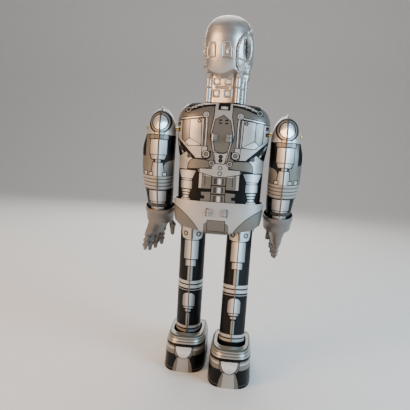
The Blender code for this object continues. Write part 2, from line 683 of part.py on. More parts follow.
def make_train(root, shafts, crank_pin, steel, brass, spring_steel):
    """The wheels that drive the crank, and the escapement that holds them back."""
    spring, idler = shafts["spring"], shafts["idler"]
    crank, governor = shafts["crank"], shafts["governor"]
    down = -pi / 2
    great_axis = add_empty("great_wheel_axis", (0, *spring), root)
    made, bore = gear(GREAT_TEETH, 1.6, 2.6, (0, 0), down, 1.8)
    great = finish_mesh("great_wheel", made, great_axis, brass)
    combine(great, finish_mesh("great_wheel_bore", bore, great_axis), "DIFFERENCE")
    post = finish_mesh("click", rod("X", (0.9, 8.6, 0), 0.8, 1.2, 14), great_axis, spring_steel)
    leaf = prism([(8.9, -0.2), (8.9, 1.0), (1.4, 5.35), (1.2, 4.75)], 0.5, 1.3)
    add_form(post, leaf, great_axis)
    arbor = finish_mesh("winding_arbor", rod("X", (7.6, 0, 0), 29.0, 1.5), great_axis, steel)
    add_form(arbor, block((21.0, -1.2, -1.2), (27.2, 1.2, 1.2)), great_axis)
    teeth = 12
    saw = []
    for tooth in range(teeth):
        angle = 2 * pi * tooth / teeth
        saw.append((4.2 * cos(angle), 4.2 * sin(angle)))
        saw.append((3.3 * cos(angle + 0.06), 3.3 * sin(angle + 0.06)))
    ratchet = finish_mesh("ratchet_wheel", prism(saw, 0.5, 1.3), great_axis, spring_steel)
    drill(ratchet, "X", (0.9, 0, 0), 4, 1.8, great_axis)
    make_mainspring(root, spring, spring_steel)
    idler_axis = add_empty("idler_axis", (0, *idler), root)
    shaft = finish_mesh("idler_gear", rod("X", (0, 0, 0), 14.4, 0.9, 16), idler_axis, steel)
    opposite = down + pi
    add_form(shaft, gear(IDLER_PINION_TEETH, 1.2, 3.6, (0, 0), opposite + pi / IDLER_PINION_TEETH)[0],
             idler_axis)
    add_form(shaft, gear(IDLER_WHEEL_TEETH, 3.2, 4.2, (0, 0), down)[0], idler_axis)
    crank_axis = add_empty("crank_axis", (0, *crank), root)
    shaft = finish_mesh("crank_shaft", rod("X", (0, 0, 0), 15.8, 1.1, 18), crank_axis, steel)
    add_form(shaft, gear(CRANK_PINION_TEETH, 2.8, 4.6, (0, 0), opposite + pi / CRANK_PINION_TEETH)[0],
             crank_axis)
    made, bore = gear(CRANK_WHEEL_TEETH, -2.4, -1.4, (0, 0), GOVERNOR_ANGLE, 1.4)
    wheel = finish_mesh("crank_wheel", made, crank_axis, brass)
    combine(wheel, finish_mesh("crank_wheel_bore", bore, crank_axis), "DIFFERENCE")
    for side, label in ((1, "left"), (-1, "right")):
        disc = finish_mesh(f"{label}_crank_disc", rod("X", (side * 7.3, 0, 0), 0.6, 4.4, 20),
                           crank_axis, steel)
        pin = (side * 7.5, side * CRANK_THROW * sin(crank_pin), side * CRANK_THROW * cos(crank_pin))
        add_form(disc, rod("X", pin, 1.0, 0.8, 14), crank_axis)
        drill(disc, "X", (side * 7.3, 0, 0), 3, 1.4, crank_axis)
    governor_axis = add_empty("governor_axis", (0, *governor), root)
    shaft = finish_mesh("governor_wheel", rod("X", (0, 0, 0), 14.0, 0.8, 14), governor_axis, steel)
    phase = GOVERNOR_ANGLE + pi + pi / GOVERNOR_TEETH
    add_form(shaft, gear(GOVERNOR_TEETH, -2.9, -0.9, (0, 0), phase)[0], governor_axis)
    star = []
    for i in range(20):
        radius = 3.0 if i % 2 == 0 else 2.0
        star.append((radius * cos(pi * i / 10), radius * sin(pi * i / 10)))
    add_form(shaft, prism(star, -4.6, -3.8), governor_axis)
    pallet_axis = add_empty("pallet_axis", (0, *PALLET_AXIS), root)
    pallet = finish_mesh("pallet", rod("X", (0, 0, 0), 14.0, 0.8, 14), pallet_axis, steel)
    yoke = [(-3.9, 0.6), (-2.6, -1.2), (2.6, -1.2), (3.9, 0.6), (3.9, 2.4), (3.1, 2.4), (2.3, 0.6),
            (-2.3, 0.6), (-3.1, 2.4), (-3.9, 2.4)]
    add_form(pallet, prism(yoke, -4.6, -3.8), pallet_axis)


def make_mainspring(root, centre, spring_steel):
    """A flat coil from near the arbor to its hooked end beside a pillar."""
    turns, start, finish, sheet, steps = 5, 2.4, 10.2, 0.35, 66
    outer, inner = [], []
    for i in range(steps + 1):
        share = i / steps
        angle = 2 * pi * turns * share
        radius = start + (finish - start) * share
        for points, r in ((outer, radius + sheet / 2), (inner, radius - sheet / 2)):
            points.append((centre[0] + r * cos(angle), centre[1] + r * sin(angle)))
    outline = outer + list(reversed(inner))
    finish_mesh("mainspring", prism(outline, -4.9, -0.1), root, spring_steel)


def build():
    clear_scene()
    printed = make_material("printed_tin", (0.42, 0.41, 0.39), 0.3, 0.8)
    paint = make_material("silver_paint", (0.62, 0.61, 0.6), 0.35, 0.7)
    plastic = make_material("grey_plastic", (0.30, 0.29, 0.29), 0.45, 0.0)
    brass = make_material("brass_fitting", (0.75, 0.58, 0.28), 0.3, 1.0)
    steel = make_material("plated_steel", (0.6, 0.6, 0.6), 0.3, 1.0)
    spring_steel = make_material("spring_steel", (0.28, 0.28, 0.3), 0.35, 1.0)
    lens = make_material("dark_lens", (0.06, 0.05, 0.05), 0.15, 0.0)
    rubber = make_material("black_roller", (0.05, 0.05, 0.05), 0.6, 0.0)
    root = add_empty("robot", (0, CENTRE_Y, 0))
    make_torso(root, printed)
    make_pelvis(root, printed)
    make_neck(root, brass)
    make_head(root, paint, lens, steel)
    make_clockwork(root, steel, brass, spring_steel)
    for side, label in ((1, "left"), (-1, "right")):
        pivot = make_arm(side, label, root, (printed, brass, spring_steel))
        make_hand(side, label, pivot, plastic)
        ankle = make_leg(side, label, root, printed, steel)
        make_foot(label, ankle, (printed, steel, rubber))


build()
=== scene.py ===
"""Looks of the clockwork walking robot: printed tin shells, moulded head and hands, light and camera.

Print and shell sizes are in millimetres, in the robot's own frame: its middle is x = 0, y = 0.
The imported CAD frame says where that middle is, and where each joint and node lies.
"""

import json
from math import atan, atan2, cos, hypot, pi, radians, sin, sqrt

import bmesh
import bpy
import numpy as np
from mathutils import Matrix, Vector
from mathutils.geometry import delaunay_2d_cdt


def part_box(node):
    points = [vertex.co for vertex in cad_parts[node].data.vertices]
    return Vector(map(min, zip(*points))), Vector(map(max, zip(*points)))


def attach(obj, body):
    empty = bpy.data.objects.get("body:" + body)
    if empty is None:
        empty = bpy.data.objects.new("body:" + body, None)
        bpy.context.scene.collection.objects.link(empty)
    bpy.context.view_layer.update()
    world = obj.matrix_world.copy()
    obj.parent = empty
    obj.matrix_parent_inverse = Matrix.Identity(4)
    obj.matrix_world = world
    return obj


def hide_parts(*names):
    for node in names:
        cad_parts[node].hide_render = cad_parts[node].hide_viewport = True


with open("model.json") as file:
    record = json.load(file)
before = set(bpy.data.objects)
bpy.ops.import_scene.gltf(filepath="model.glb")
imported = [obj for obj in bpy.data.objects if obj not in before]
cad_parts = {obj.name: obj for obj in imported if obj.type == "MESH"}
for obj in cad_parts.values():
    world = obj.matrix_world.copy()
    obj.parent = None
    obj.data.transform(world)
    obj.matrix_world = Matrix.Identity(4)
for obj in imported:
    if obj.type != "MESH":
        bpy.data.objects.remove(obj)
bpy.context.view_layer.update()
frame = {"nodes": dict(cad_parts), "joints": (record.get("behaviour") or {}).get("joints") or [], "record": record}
MM = 0.001
JOINTS = {joint["name"]: joint for joint in frame["joints"]}


def joint_point(name):
    return Vector(JOINTS[name]["pos_m"]) / MM


MIDDLE_Y = joint_point("head_turn").y
ACROSS = Vector((1, 0, 0))
# Thickness of the drawn tin, and width of the print's keylines
TIN = 0.45
LINE = 0.48
# How far shading normals lean away from a limb's seam, and how wide that crimp is
CRIMP = 0.50
CRIMP_WIDTH = 4.2


# ---------------------------------------------------------------- materials


class Paint:
    """A Principled material under construction, with helpers for its node tree."""

    def __init__(self, name, colour, metallic, roughness, coat=0.0, coat_roughness=0.12):
        self.material = bpy.data.materials.new(name)
        self.material.use_nodes = True
        self.tree = self.material.node_tree
        self.shader = self.tree.nodes["Principled BSDF"]
        self.shader.inputs["Metallic"].default_value = metallic
        self.shader.inputs["Coat Weight"].default_value = coat
        self.shader.inputs["Coat Roughness"].default_value = coat_roughness
        self.colour = colour
        self.roughness = roughness
        self.coords = self.tree.nodes.new("ShaderNodeTexCoord")

    def link(self, source, target):
        self.tree.links.new(source, target)

    def noise(self, scale, detail=2.0, stretch=None):
        node = self.tree.nodes.new("ShaderNodeTexNoise")
        node.inputs["Scale"].default_value = scale
        node.inputs["Detail"].default_value = detail
        source = self.coords.outputs["Object"]
        if stretch:
            mapping = self.tree.nodes.new("ShaderNodeMapping")
            mapping.inputs["Scale"].default_value = stretch
            self.link(source, mapping.inputs["Vector"])
            source = mapping.outputs["Vector"]
        self.link(source, node.inputs["Vector"])
        return node.outputs["Fac"]

    def spread(self, value, low, high):
        node = self.tree.nodes.new("ShaderNodeMapRange")
        node.inputs["From Min"].default_value = 0.3
        node.inputs["From Max"].default_value = 0.7
        node.inputs["To Min"].default_value = low
        node.inputs["To Max"].default_value = high
        self.link(value, node.inputs["Value"])
        return node.outputs["Result"]

    def ramp(self, value, stops):
        node = self.tree.nodes.new("ShaderNodeValToRGB")
        ramp = node.color_ramp
        while len(ramp.elements) < len(stops):
            ramp.elements.new(0.5)
        for element, (place, shade) in zip(ramp.elements, stops):
            element.position = place
            element.color = (*[part * shade for part in self.colour], 1.0)
        self.link(value, node.inputs["Fac"])
        return node.outputs["Color"]

    def mottle(self, value, amount):
        return self.ramp(value, ((0.3, 1.0 - amount), (0.7, 1.0 + amount)))

    def grain(self):
        """A fine grain near white, to multiply over a gradient."""
        node = self.tree.nodes.new("ShaderNodeValToRGB")
        for element, (place, shade) in zip(node.color_ramp.elements, ((0.3, 0.965), (0.7, 1.0))):
            element.position = place
            element.color = (shade, shade, shade, 1.0)
        self.link(self.noise(2600.0, 1.0), node.inputs["Fac"])
        return node.outputs["Color"]

    def mix(self, first, second):
        node = self.tree.nodes.new("ShaderNodeMix")
        node.data_type = "RGBA"
        node.blend_type = "MULTIPLY"
        node.inputs[0].default_value = 1.0
        self.link(first, node.inputs[6])
        self.link(second, node.inputs[7])
        return node.outputs[2]

    def finish(self, colour, rough_value, rough_spread, bump_value, bump_strength, distance):
        self.link(colour, self.shader.inputs["Base Color"])
        low, high = self.roughness - rough_spread, self.roughness + rough_spread
        self.link(self.spread(rough_value, low, high), self.shader.inputs["Roughness"])
        bump = self.tree.nodes.new("ShaderNodeBump")
        bump.inputs["Strength"].default_value = bump_strength
        bump.inputs["Distance"].default_value = distance
        self.link(bump_value, bump.inputs["Height"])
        self.link(bump.outputs["Normal"], self.shader.inputs["Normal"])
        return self.material


# How bright a print gradient is along its own width: (place, share of the ink's colour)
ROUND_METAL = ((0.0, 0.20), (0.16, 0.50), (0.38, 1.0), (0.56, 0.95), (0.8, 0.42), (1.0, 0.22))
SOFT_ROUND = ((0.0, 0.45), (0.35, 1.0), (0.6, 0.9), (1.0, 0.42))
SHEEN_UP = ((0.0, 0.66), (0.5, 0.88), (1.0, 1.08))
SHEEN_DOWN = ((0.0, 1.08), (0.6, 0.9), (1.0, 0.62))
BAND = ((0.0, 0.42), (0.35, 0.95), (0.75, 1.15), (1.0, 0.6))
BALL = ((0.0, 0.42), (0.3, 0.92), (0.55, 1.05), (1.0, 0.5))
DISH = ((0.0, 0.58), (0.5, 1.0), (1.0, 0.74))


def ink(name, colour, gradient=None, axis="X", metallic=0.3, roughness=0.36, coat=0.25, glint=0.5):
    """A litho ink on tin: fine grain, faint handling marks, slight waviness, and a print gradient."""
    paint = Paint(f"ink_{name}", colour, metallic, roughness, coat)
    paint.shader.inputs["Specular IOR Level"].default_value = glint
    if gradient:
        uv = paint.tree.nodes.new("ShaderNodeSeparateXYZ")
        paint.link(paint.coords.outputs["UV"], uv.inputs["Vector"])
        shade = paint.ramp(uv.outputs[axis], gradient)
        grain = paint.mix(shade, paint.grain())
    else:
        grain = paint.mottle(paint.noise(2600.0, 1.0), 0.07)
    marks = paint.noise(260.0, 4.0)
    return paint.finish(grain, marks, 0.07, paint.noise(150.0, 1.5), 0.05, 0.0004)


def make_inks():
    light = (0.46, 0.445, 0.42)
    bright = (0.80, 0.79, 0.77)
    return {
        "base": ink("base", (0.138, 0.126, 0.106)),
        "light": ink("light", light, metallic=0.45),
        "mid": ink("mid", (0.150, 0.138, 0.116)),
        "dark": ink("dark", (0.036, 0.032, 0.028), metallic=0.1),
        "black": ink("black", (0.0020, 0.0020, 0.0022), metallic=0.0, roughness=0.42, coat=0.03,
                     glint=0.16),
        "bright": ink("bright", bright, metallic=0.5, roughness=0.26),
        "round": ink("round", bright, ROUND_METAL, metallic=0.5),
        "round_z": ink("round_z", bright, ROUND_METAL, "Y", metallic=0.5),
        "soft": ink("soft", light, SOFT_ROUND),
        "soft_band": ink("soft_band", (0.33, 0.31, 0.275), BAND, "Y"),
        "ball": ink("ball", (0.92, 0.91, 0.89), BALL, metallic=0.6, roughness=0.22),
        "bright_ball": ink("bright_ball", (0.84, 0.83, 0.81), DISH, "Y", metallic=0.6, roughness=0.24),
        "up": ink("up", light, SHEEN_UP, "Y"),
        "facet": ink("facet", (0.56, 0.54, 0.51), SHEEN_UP, "X", metallic=0.5),
        "facet_side": ink("facet_side", (0.27, 0.25, 0.22), SHEEN_DOWN, "X", metallic=0.5),
        "facet_low": ink("facet_low", (0.60, 0.58, 0.55), SHEEN_DOWN, "Y", metallic=0.5),
        "green": ink("green", (0.095, 0.100, 0.080), metallic=0.3),
        "rim": ink("rim", (0.235, 0.230, 0.195), metallic=0.4),
        "tongue": ink("tongue", (0.37, 0.355, 0.32), metallic=0.4),
        "ring": ink("ring", (0.235, 0.218, 0.19), metallic=0.5),
        "seam": ink("seam", (0.17, 0.155, 0.135), metallic=0.9, roughness=0.34, coat=0.0),
        "tin": ink("tin", (0.36, 0.35, 0.33), metallic=0.9, roughness=0.36, coat=0.0),
        "bare": ink("bare", (0.34, 0.31, 0.26), metallic=0.9, roughness=0.45, coat=0.0),
    }


INKS = make_inks()


def moulded(name, colour, metallic, roughness, fleck=0.08):
    """Paint or plastic on a moulding, with a fine orange-peel skin and worn, duller patches."""
    paint = Paint(name, colour, metallic, roughness, 0.1, 0.3)
    grain = paint.mottle(paint.noise(1800.0, 3.0), fleck)
    return paint.finish(grain, paint.noise(190.0, 4.0), 0.08, paint.noise(900.0, 2.0), 0.10, 0.0003)


def turned(name, colour, roughness):
    """Plain metal with fine drawn lines."""
    paint = Paint(name, colour, 1.0, roughness)
    lines = paint.noise(1400.0, 2.0, (0.08, 1.0, 1.0))
    return paint.finish(paint.mottle(lines, 0.12), lines, 0.08, lines, 0.08, 0.0002)


# Painted shade: a near-black finish for the ear openings and neck-pin sockets, standing for the shadow inside
# these recesses
HOLLOW_SHADE = moulded("head_hollow_painted_shade", (0.045, 0.042, 0.040), 0.3, 0.45, 0.2)
SILVER = moulded("silver_head_paint", (0.50, 0.47, 0.44), 0.85, 0.36, 0.05)
HAND_GREY = moulded("hand_plastic", (0.175, 0.158, 0.143), 0.45, 0.38, 0.12)
BRASS = turned("turned_brass", (0.78, 0.56, 0.22), 0.26)
STEEL = turned("plated_steel_wire", (0.56, 0.56, 0.55), 0.28)
SPRING = turned("spring_steel_blue", (0.20, 0.21, 0.24), 0.34)
RUBBER = moulded("roller_black", (0.018, 0.018, 0.018), 0.0, 0.55, 0.2)
LENS = moulded("smoked_lens", (0.035, 0.03, 0.03), 0.0, 0.14, 0.05)


# ---------------------------------------------------------------- flat print


def offset(points, distance):
    """The outline moved outwards by a distance, with mitred corners."""
    area = sum(a[0] * b[1] - b[0] * a[1] for a, b in zip(points, points[1:] + points[:1]))
    way = distance if area > 0 else -distance
    moved = []
    for i, point in enumerate(points):
        before, after = points[i - 1], points[(i + 1) % len(points)]
        one = Vector((point[0] - before[0], point[1] - before[1])).normalized()
        two = Vector((after[0] - point[0], after[1] - point[1])).normalized()
        side = Vector((one.y + two.y, -one.x - two.x))
        if side.length < 0.05:
            side = Vector((one.y, -one.x))
        side.normalize()
        reach = way / max(0.45, side.dot(Vector((one.y, -one.x))))
        moved.append((point[0] + side.x * reach, point[1] + side.y * reach))
    return moved


def tidy_outline(points):
    """The outline without repeated points, run anticlockwise, or nothing if it has no area."""
    made = []
    for point in points:
        if not made or hypot(point[0] - made[-1][0], point[1] - made[-1][1]) > 1e-3:
            made.append(point)
    while len(made) > 1 and hypot(made[0][0] - made[-1][0], made[0][1] - made[-1][1]) <= 1e-3:
        made.pop()
    area = sum(a[0] * b[1] - b[0] * a[1] for a, b in zip(made, made[1:] + made[:1])) / 2
    if abs(area) < 0.01:
        return []
    return made if area > 0 else list(reversed(made))


def dense(points, most):
    """The same outline with no edge longer than a given length."""
    made = []
    for a, b in zip(points, points[1:] + points[:1]):
        parts = max(1, int(hypot(b[0] - a[0], b[1] - a[1]) / most + 0.999))
        made += [(a[0] + (b[0] - a[0]) * i / parts, a[1] + (b[1] - a[1]) * i / parts)
                 for i in range(parts)]
    return made


def round_outline(x, z, radius, count=20):
    return [(x + radius * cos(2 * pi * i / count), z + radius * sin(2 * pi * i / count))
            for i in range(count)]


class Print:
    """Shapes laid over each other on a flat sheet. Each is an outline and an ink, None for a hole."""

    def __init__(self, mirrored=False):
        self.shapes = []
        self.mirrored = mirrored

    def lay(self, points, colour):
        self.shapes.append((list(points), colour))
        if self.mirrored:
            self.shapes.append(([(-x, z) for x, z in reversed(points)], colour))

    def settle(self, level, share):
        """Draw every height in towards a level."""
        self.shapes = [([(x, level + (z - level) * share) for x, z in points], colour)
                       for points, colour in self.shapes]

    def area(self, points, colour, line=LINE):
        """A filled shape with a dark keyline round it."""
        if line:
            self.lay(offset(list(points), line), "black")
        self.lay(points, colour)

    def box(self, x0, z0, x1, z1, colour, line=LINE):
        self.area([(x0, z0), (x1, z0), (x1, z1), (x0, z1)], colour, line)

    def disc(self, x, z, radius, colour, line=LINE):
        if line:
            self.lay(round_outline(x, z, radius + line), "black")
        self.lay(round_outline(x, z, radius), colour)

    def stud(self, x, z, radius, colour="light", centre="mid"):
        """A printed screw: a disc, a ring line and a darker middle."""
        self.disc(x, z, radius, colour)
        self.disc(x, z, radius * 0.52, centre, LINE * 0.8)

    def stroke(self, points, width, colour="black"):
        """A line of even width through points."""
        left, right = [], []
        for i, point in enumerate(points):
            before, after = points[max(0, i - 1)], points[min(len(points) - 1, i + 1)]
            way = Vector((after[0] - before[0], after[1] - before[1])).normalized()
            left.append((point[0] - way.y * width / 2, point[1] + way.x * width / 2))
            right.append((point[0] + way.y * width / 2, point[1] - way.x * width / 2))
        self.lay(left + list(reversed(right)), colour)

    def tube(self, points, width, colour="light"):
        """A printed pipe: dark edges, a light body and a bright line along it."""
        self.stroke(points, width + 2 * LINE, "black")
        self.stroke(points, width, colour)
        self.stroke(points, width * 0.3, "bright")

    def piston(self, x, steps, colour="round"):
        """Stacked cylinders seen side on. Each step is (bottom, top, half width at bottom, at top)."""
        for low, high, half_low, half_high in steps:
            self.area([(x - half_low, low), (x + half_low, low), (x + half_high, high),
                       (x - half_high, high)], colour)


# ---------------------------------------------------------------- shells


def table_value(rows, column, place):
    """A smooth curve through one column of a section table, by its first column."""
    last = len(rows) - 1
    if place <= rows[0][0]:
        return rows[0][column]
    if place >= rows[last][0]:
        return rows[last][column]
    i = 0
    while rows[i + 1][0] < place:
        i += 1
    x0, x1 = rows[i][0], rows[i + 1][0]
    y0, y1 = rows[i][column], rows[i + 1][column]

    def slope(k):
        if k in (0, last):
            a, b = (0, 1) if k == 0 else (last - 1, last)
            return (rows[b][column] - rows[a][column]) / (rows[b][0] - rows[a][0])
        left = (rows[k][column] - rows[k - 1][column]) / (rows[k][0] - rows[k - 1][0])
        right = (rows[k + 1][column] - rows[k][column]) / (rows[k + 1][0] - rows[k][0])
        return 0.0 if left * right <= 0 else 2 * left * right / (left + right)

    step = x1 - x0
    t = (place - x0) / step
    return ((2 * t ** 3 - 3 * t ** 2 + 1) * y0 + (t ** 3 - 2 * t ** 2 + t) * step * slope(i)
            + (3 * t ** 2 - 2 * t ** 3) * y1 + (t ** 3 - t ** 2) * step * slope(i + 1))


def row_place(rows, low, high, z):
    """The distance along section rows, between low and high, at which they reach a height."""
    for _ in range(28):
        middle = (low + high) / 2
        if table_value(rows, 1, middle) < z:
            low = middle
        else:
            high = middle
    return low


def squarish(angle, power):
    """Sine and cosine of a direction, stretched onto a superellipse of unit half widths."""
    across, along = sin(angle), cos(angle)
    reach = (abs(across) ** power + abs(along) ** power) ** (-1 / power)
    return across * reach, along * reach


def squarish_angle(share, power):
    """The direction whose superellipse point lies at a share of the half width."""
    share = max(-0.999999, min(0.999999, share))
    size = abs(share)
    angle = atan(size / (1 - size ** power) ** (1 / power))
    return angle if share > 0 else -angle


def custom_normals(mesh, corner_normals):
    mesh.shade_smooth()
    mesh.normals_split_custom_set(corner_normals)


def covers(outline, spots):
    """Which spots (an array of x, y rows) lie inside an outline, by winding number."""
    turns = np.zeros(len(spots), dtype=int)
    for (x0, y0), (x1, y1) in zip(outline, outline[1:] + outline[:1]):
        side = (x1 - x0) * (spots[:, 1] - y0) - (spots[:, 0] - x0) * (y1 - y0)
        turns += (y0 <= spots[:, 1]) & (y1 > spots[:, 1]) & (side > 0)
        turns -= (y0 > spots[:, 1]) & (y1 <= spots[:, 1]) & (side < 0)
    return turns != 0


def surface_frame(place, spots):
    """Points of a surface and its outward normals at sheet spots."""
    step = 0.02
    points = np.array([place(a, v) for a, v in spots])
    along = np.array([place(a + step, v) for a, v in spots])
    along -= np.array([place(a - step, v) for a, v in spots])
    up = np.array([place(a, v + step) for a, v in spots])
    up -= np.array([place(a, v - step) for a, v in spots])
    normals = np.cross(along, up)
    lengths = np.linalg.norm(normals, axis=1)
    lengths[lengths == 0] = 1.0
    normals /= lengths[:, None]
    if np.einsum("ij,ij->i", normals, points - points.mean(axis=0)).sum() < 0:
        normals = -normals
    return points, normals


def creased(points, normals, seam_x, way):
    """Shading normals of a limb half, turned away from the seam where its edge is crimped."""
    apart = (points[:, 0] - seam_x) / CRIMP_WIDTH
    turned_away = normals.copy()
    turned_away[:, 0] += way * CRIMP * np.exp(-apart * apart)
    return turned_away / np.linalg.norm(turned_away, axis=1)[:, None]


def sheet_shapes(artwork, outline, unroll, base, spacing):
    """The sheet's border and its print in sheet coordinates, each an outline and an ink."""
    border = tidy_outline(dense([unroll(*p) for p in dense(outline, spacing)], spacing))
    drawn = [(border, base)]
    for points, colour in artwork.shapes:
        flat = tidy_outline([unroll(*p) for p in dense(points, spacing * 0.8)])
        if flat:
            drawn.append((flat, colour))
    return drawn


def sheet_frames(drawn):
    """The reach of each shape: lowest and highest distance along the sheet, then up it."""
    frames = []
    for flat, _ in drawn:
        a_values, v_values = [p[0] for p in flat], [p[1] for p in flat]
        frames.append((min(a_values), max(a_values), min(v_values), max(v_values)))
    return frames


def sheet_triangles(drawn, frame_of_border, spacing):
    """Points and faces that follow every outline, with a staggered grid of points in between."""
    verts, edges = [], []
    for flat, _ in drawn:
        start, count = len(verts), len(flat)
        verts += [Vector(p) for p in flat]
        edges += [(start + i, start + (i + 1) % count) for i in range(count)]
    a_low, a_high, v_low, v_high = frame_of_border
    rows = int((v_high - v_low) / spacing)
    columns = int((a_high - a_low) / spacing)
    for row in range(1, rows):
        for column in range(1, columns):
            a = a_low + (column + 0.5 * (row % 2) - 0.25) * (a_high - a_low) / columns
            verts.append(Vector((a, v_low + row * (v_high - v_low) / rows)))
    points, _, made, _, _, _ = delaunay_2d_cdt(verts, edges, [], 0, 1e-4, False)
    return points, made


def topmost_shapes(drawn, frames, points, made):
    """For each face, the number of the last shape laid over it, or -1 outside the border."""
    middles = np.array([[sum(points[i][k] for i in face) / len(face) for k in (0, 1)]
                        for face in made])
    shape_of = np.where(covers(drawn[0][0], middles), 0, -1)
    for number, (flat, _) in enumerate(drawn[1:], 1):
        a0, a1, v0, v1 = frames[number]
        near = np.nonzero((middles[:, 0] > a0) & (middles[:, 0] < a1) & (middles[:, 1] > v0)
                          & (middles[:, 1] < v1) & (shape_of >= 0))[0]
        if len(near):
            shape_of[near[covers(flat, middles[near])]] = number
    return shape_of


def printed_shell(name, artwork, outline, unroll, place, base="base", spacing=1.6, crease=None):
    """A thin curved shell whose faces follow the print.

    The outline and the artwork are turned by unroll into sheet coordinates, triangulated together
    there, and put on the curved surface by place(a, v), which gives a point in millimetres.
    A crease is the seam's x, and which way the shell lies from it.
    """
    drawn = sheet_shapes(artwork, outline, unroll, base, spacing)
    frames = sheet_frames(drawn)
    points, made = sheet_triangles(drawn, frames[0], spacing)
    shape_of = topmost_shapes(drawn, frames, points, made)
    keep = [i for i, shape in enumerate(shape_of) if shape >= 0 and drawn[shape][1] is not None]
    kept = [list(made[i]) for i in keep]
    shape_of = [int(shape_of[i]) for i in keep]
    used = sorted({i for face in kept for i in face})
    index = {old: new for new, old in enumerate(used)}
    outer, normals = surface_frame(place, [tuple(points[i]) for i in used])
    faces_out = [[index[i] for i in face] for face in kept]
    agree = 0.0
    for face in faces_out:
        a, b, c = outer[face[0]], outer[face[1]], outer[face[2]]
        agree += float(np.dot(np.cross(b - a, c - a), normals[face[0]]))
    if agree < 0:
        faces_out = [list(reversed(face)) for face in faces_out]
        kept = [list(reversed(face)) for face in kept]
    inks = [drawn[shape][1] for shape in shape_of]
    shading = creased(outer, normals, *crease) if crease else normals
    return assemble_shell(name, points, kept, faces_out, inks, shape_of, frames, outer, normals,
                          shading)


def assemble_shell(name, points, kept, faces_out, inks, shape_of, frames, outer, normals, shading):
    """The mesh of a printed shell: printed face, plain back, and a rim along every cut edge."""
    count = len(outer)
    verts = list(outer) + list(outer - normals * TIN)
    faces = list(faces_out) + [[i + count for i in reversed(face)] for face in faces_out]
    names = inks + ["bare"] * len(faces_out)
    corner_normals = [shading[i] for face in faces_out for i in face]
    corner_normals += [-normals[i] for face in faces_out for i in reversed(face)]
    borders = {}
    for face in faces_out:
        for a, b in zip(face, face[1:] + face[:1]):
            if (b, a) in borders:
                del borders[(b, a)]
            else:
                borders[(a, b)] = True
    for a, b in borders:
        faces.append([b, a, a + count, b + count])
        names.append("tin")
        flat = np.cross(outer[b] - outer[a], normals[a])
        length = np.linalg.norm(flat) or 1.0
        corner_normals += [flat / length] * 4
    mesh = bpy.data.meshes.new(name)
    mesh.from_pydata([tuple(p * MM) for p in verts], [], faces)
    slots = sorted(set(names))
    for slot_name in slots:
        mesh.materials.append(INKS[slot_name])
    mesh.polygons.foreach_set("material_index", [slots.index(n) for n in names])
    layer = mesh.uv_layers.new(name="Print")
    uv = []
    for face, shape in zip(kept, shape_of):
        a0, a1, v0, v1 = frames[shape]
        for i in face:
            uv += [(points[i][0] - a0) / max(1e-6, a1 - a0), (points[i][1] - v0) / max(1e-6, v1 - v0)]
    uv += [0.5] * (2 * sum(len(face) for face in faces) - len(uv))
    layer.data.foreach_set("uv", uv)
    custom_normals(mesh, [tuple(n) for n in corner_normals])
    return add_object(name, mesh)


def join_rings(bm, rings):
    """Faces from each ring of corners to the next."""
    for lower, upper in zip(rings, rings[1:]):
        for i, corner in enumerate(lower):
            j = (i + 1) % len(lower)
            bm.faces.new((corner, lower[j], upper[j], upper[i]))


def add_object(name, mesh):
    made = bpy.data.objects.new(name, mesh)
    bpy.context.scene.collection.objects.link(made)
    return made


def carry(piece, body, slot, *nodes):
    """Ride a piece on its body, and hide the CAD nodes that it stands for. The slot argument is not used."""
    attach(piece, body)
    if nodes:
        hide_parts(*nodes)
    return piece


# ---------------------------------------------------------------- torso

# Sections of torso and pelvis: height, half width, depth to the front, depth to the back
TORSO = (
    (112.0, 27.6, 16.2, 16.2),
    (119.0, 28.0, 17.0, 17.0),
    (146.0, 28.7, 18.6, 17.8),
    (156.0, 30.2, 19.8, 18.4),
    (166.0, 31.2, 20.2, 18.6),
    (172.0, 31.0, 19.4, 18.0),
    (177.0, 29.4, 17.6, 16.6),
    (180.6, 26.6, 15.2, 14.4),
    (182.8, 23.4, 12.8, 12.2),
    (183.5, 20.6, 10.8, 10.4),
)
PELVIS = (
    (96.5, 19.0, 11.0, 11.0),
    (97.3, 22.4, 12.6, 12.6),
    (99.4, 26.4, 14.4, 14.4),
    (103.0, 28.8, 16.0, 16.0),
    (108.0, 30.0, 17.4, 17.4),
    (114.0, 30.4, 18.0, 18.0),
    (119.0, 30.4, 18.2, 18.2),
)
TORSO_POWER = 2.5
SHEET_RADIUS = 22.0
# Half width of the sheet that the body prints are cut from
SHEET_REACH = 60.0
SHOULDER_Z = 165.0
# The torso print was drawn a little tall, and is drawn in towards the waist by this share
WAIST_Z = 119.0
PRINT_SHARE = 0.944
# Bent lugs of the clockwork: how far from the middle, then name, height and depth of the wall there
LUG_X = 6.3
UPPER_LUG = ("upper", 160.7, 18.5)
LOWER_LUG = ("lower", 111.9, 17.8)


def meridian(rows, closing=None):
    """Section rows, each with the distance along the shell's front before it.

    A closing row, if given, brings a flat top in to a small hole.
    """
    rows = list(rows) + ([closing] if closing else [])
    made = [(0.0, *rows[0])]
    for before, row in zip(rows, rows[1:]):
        rise = hypot(row[0] - before[0], row[3] - before[3])
        made.append((made[-1][0] + rise, *row))
    return made


def body_place(rows, way):
    """Point on the front (way -1) or back (way 1) of a body form, from sheet coordinates."""

    def place(a, v):
        angle = a / SHEET_RADIUS
        across, along = squarish(angle, TORSO_POWER)
        column = 4 if way > 0 else 3
        return (table_value(rows, 2, v) * across,
                MIDDLE_Y + way * table_value(rows, column, v) * along, table_value(rows, 1, v))

    return place


def body_unroll(rows, flat_top=False):
    """From what a straight view shows, x across and z up, to sheet coordinates."""
    end = rows[-2] if flat_top else rows[-1]

    def unroll(x, z):
        v = row_place(rows, rows[0][0], end[0], z)
        if flat_top and z >= end[1]:
            v = min(rows[-1][0], end[0] + (z - end[1]))
        return SHEET_RADIUS * squarish_angle(x / table_value(rows, 2, v), TORSO_POWER), v

    return unroll


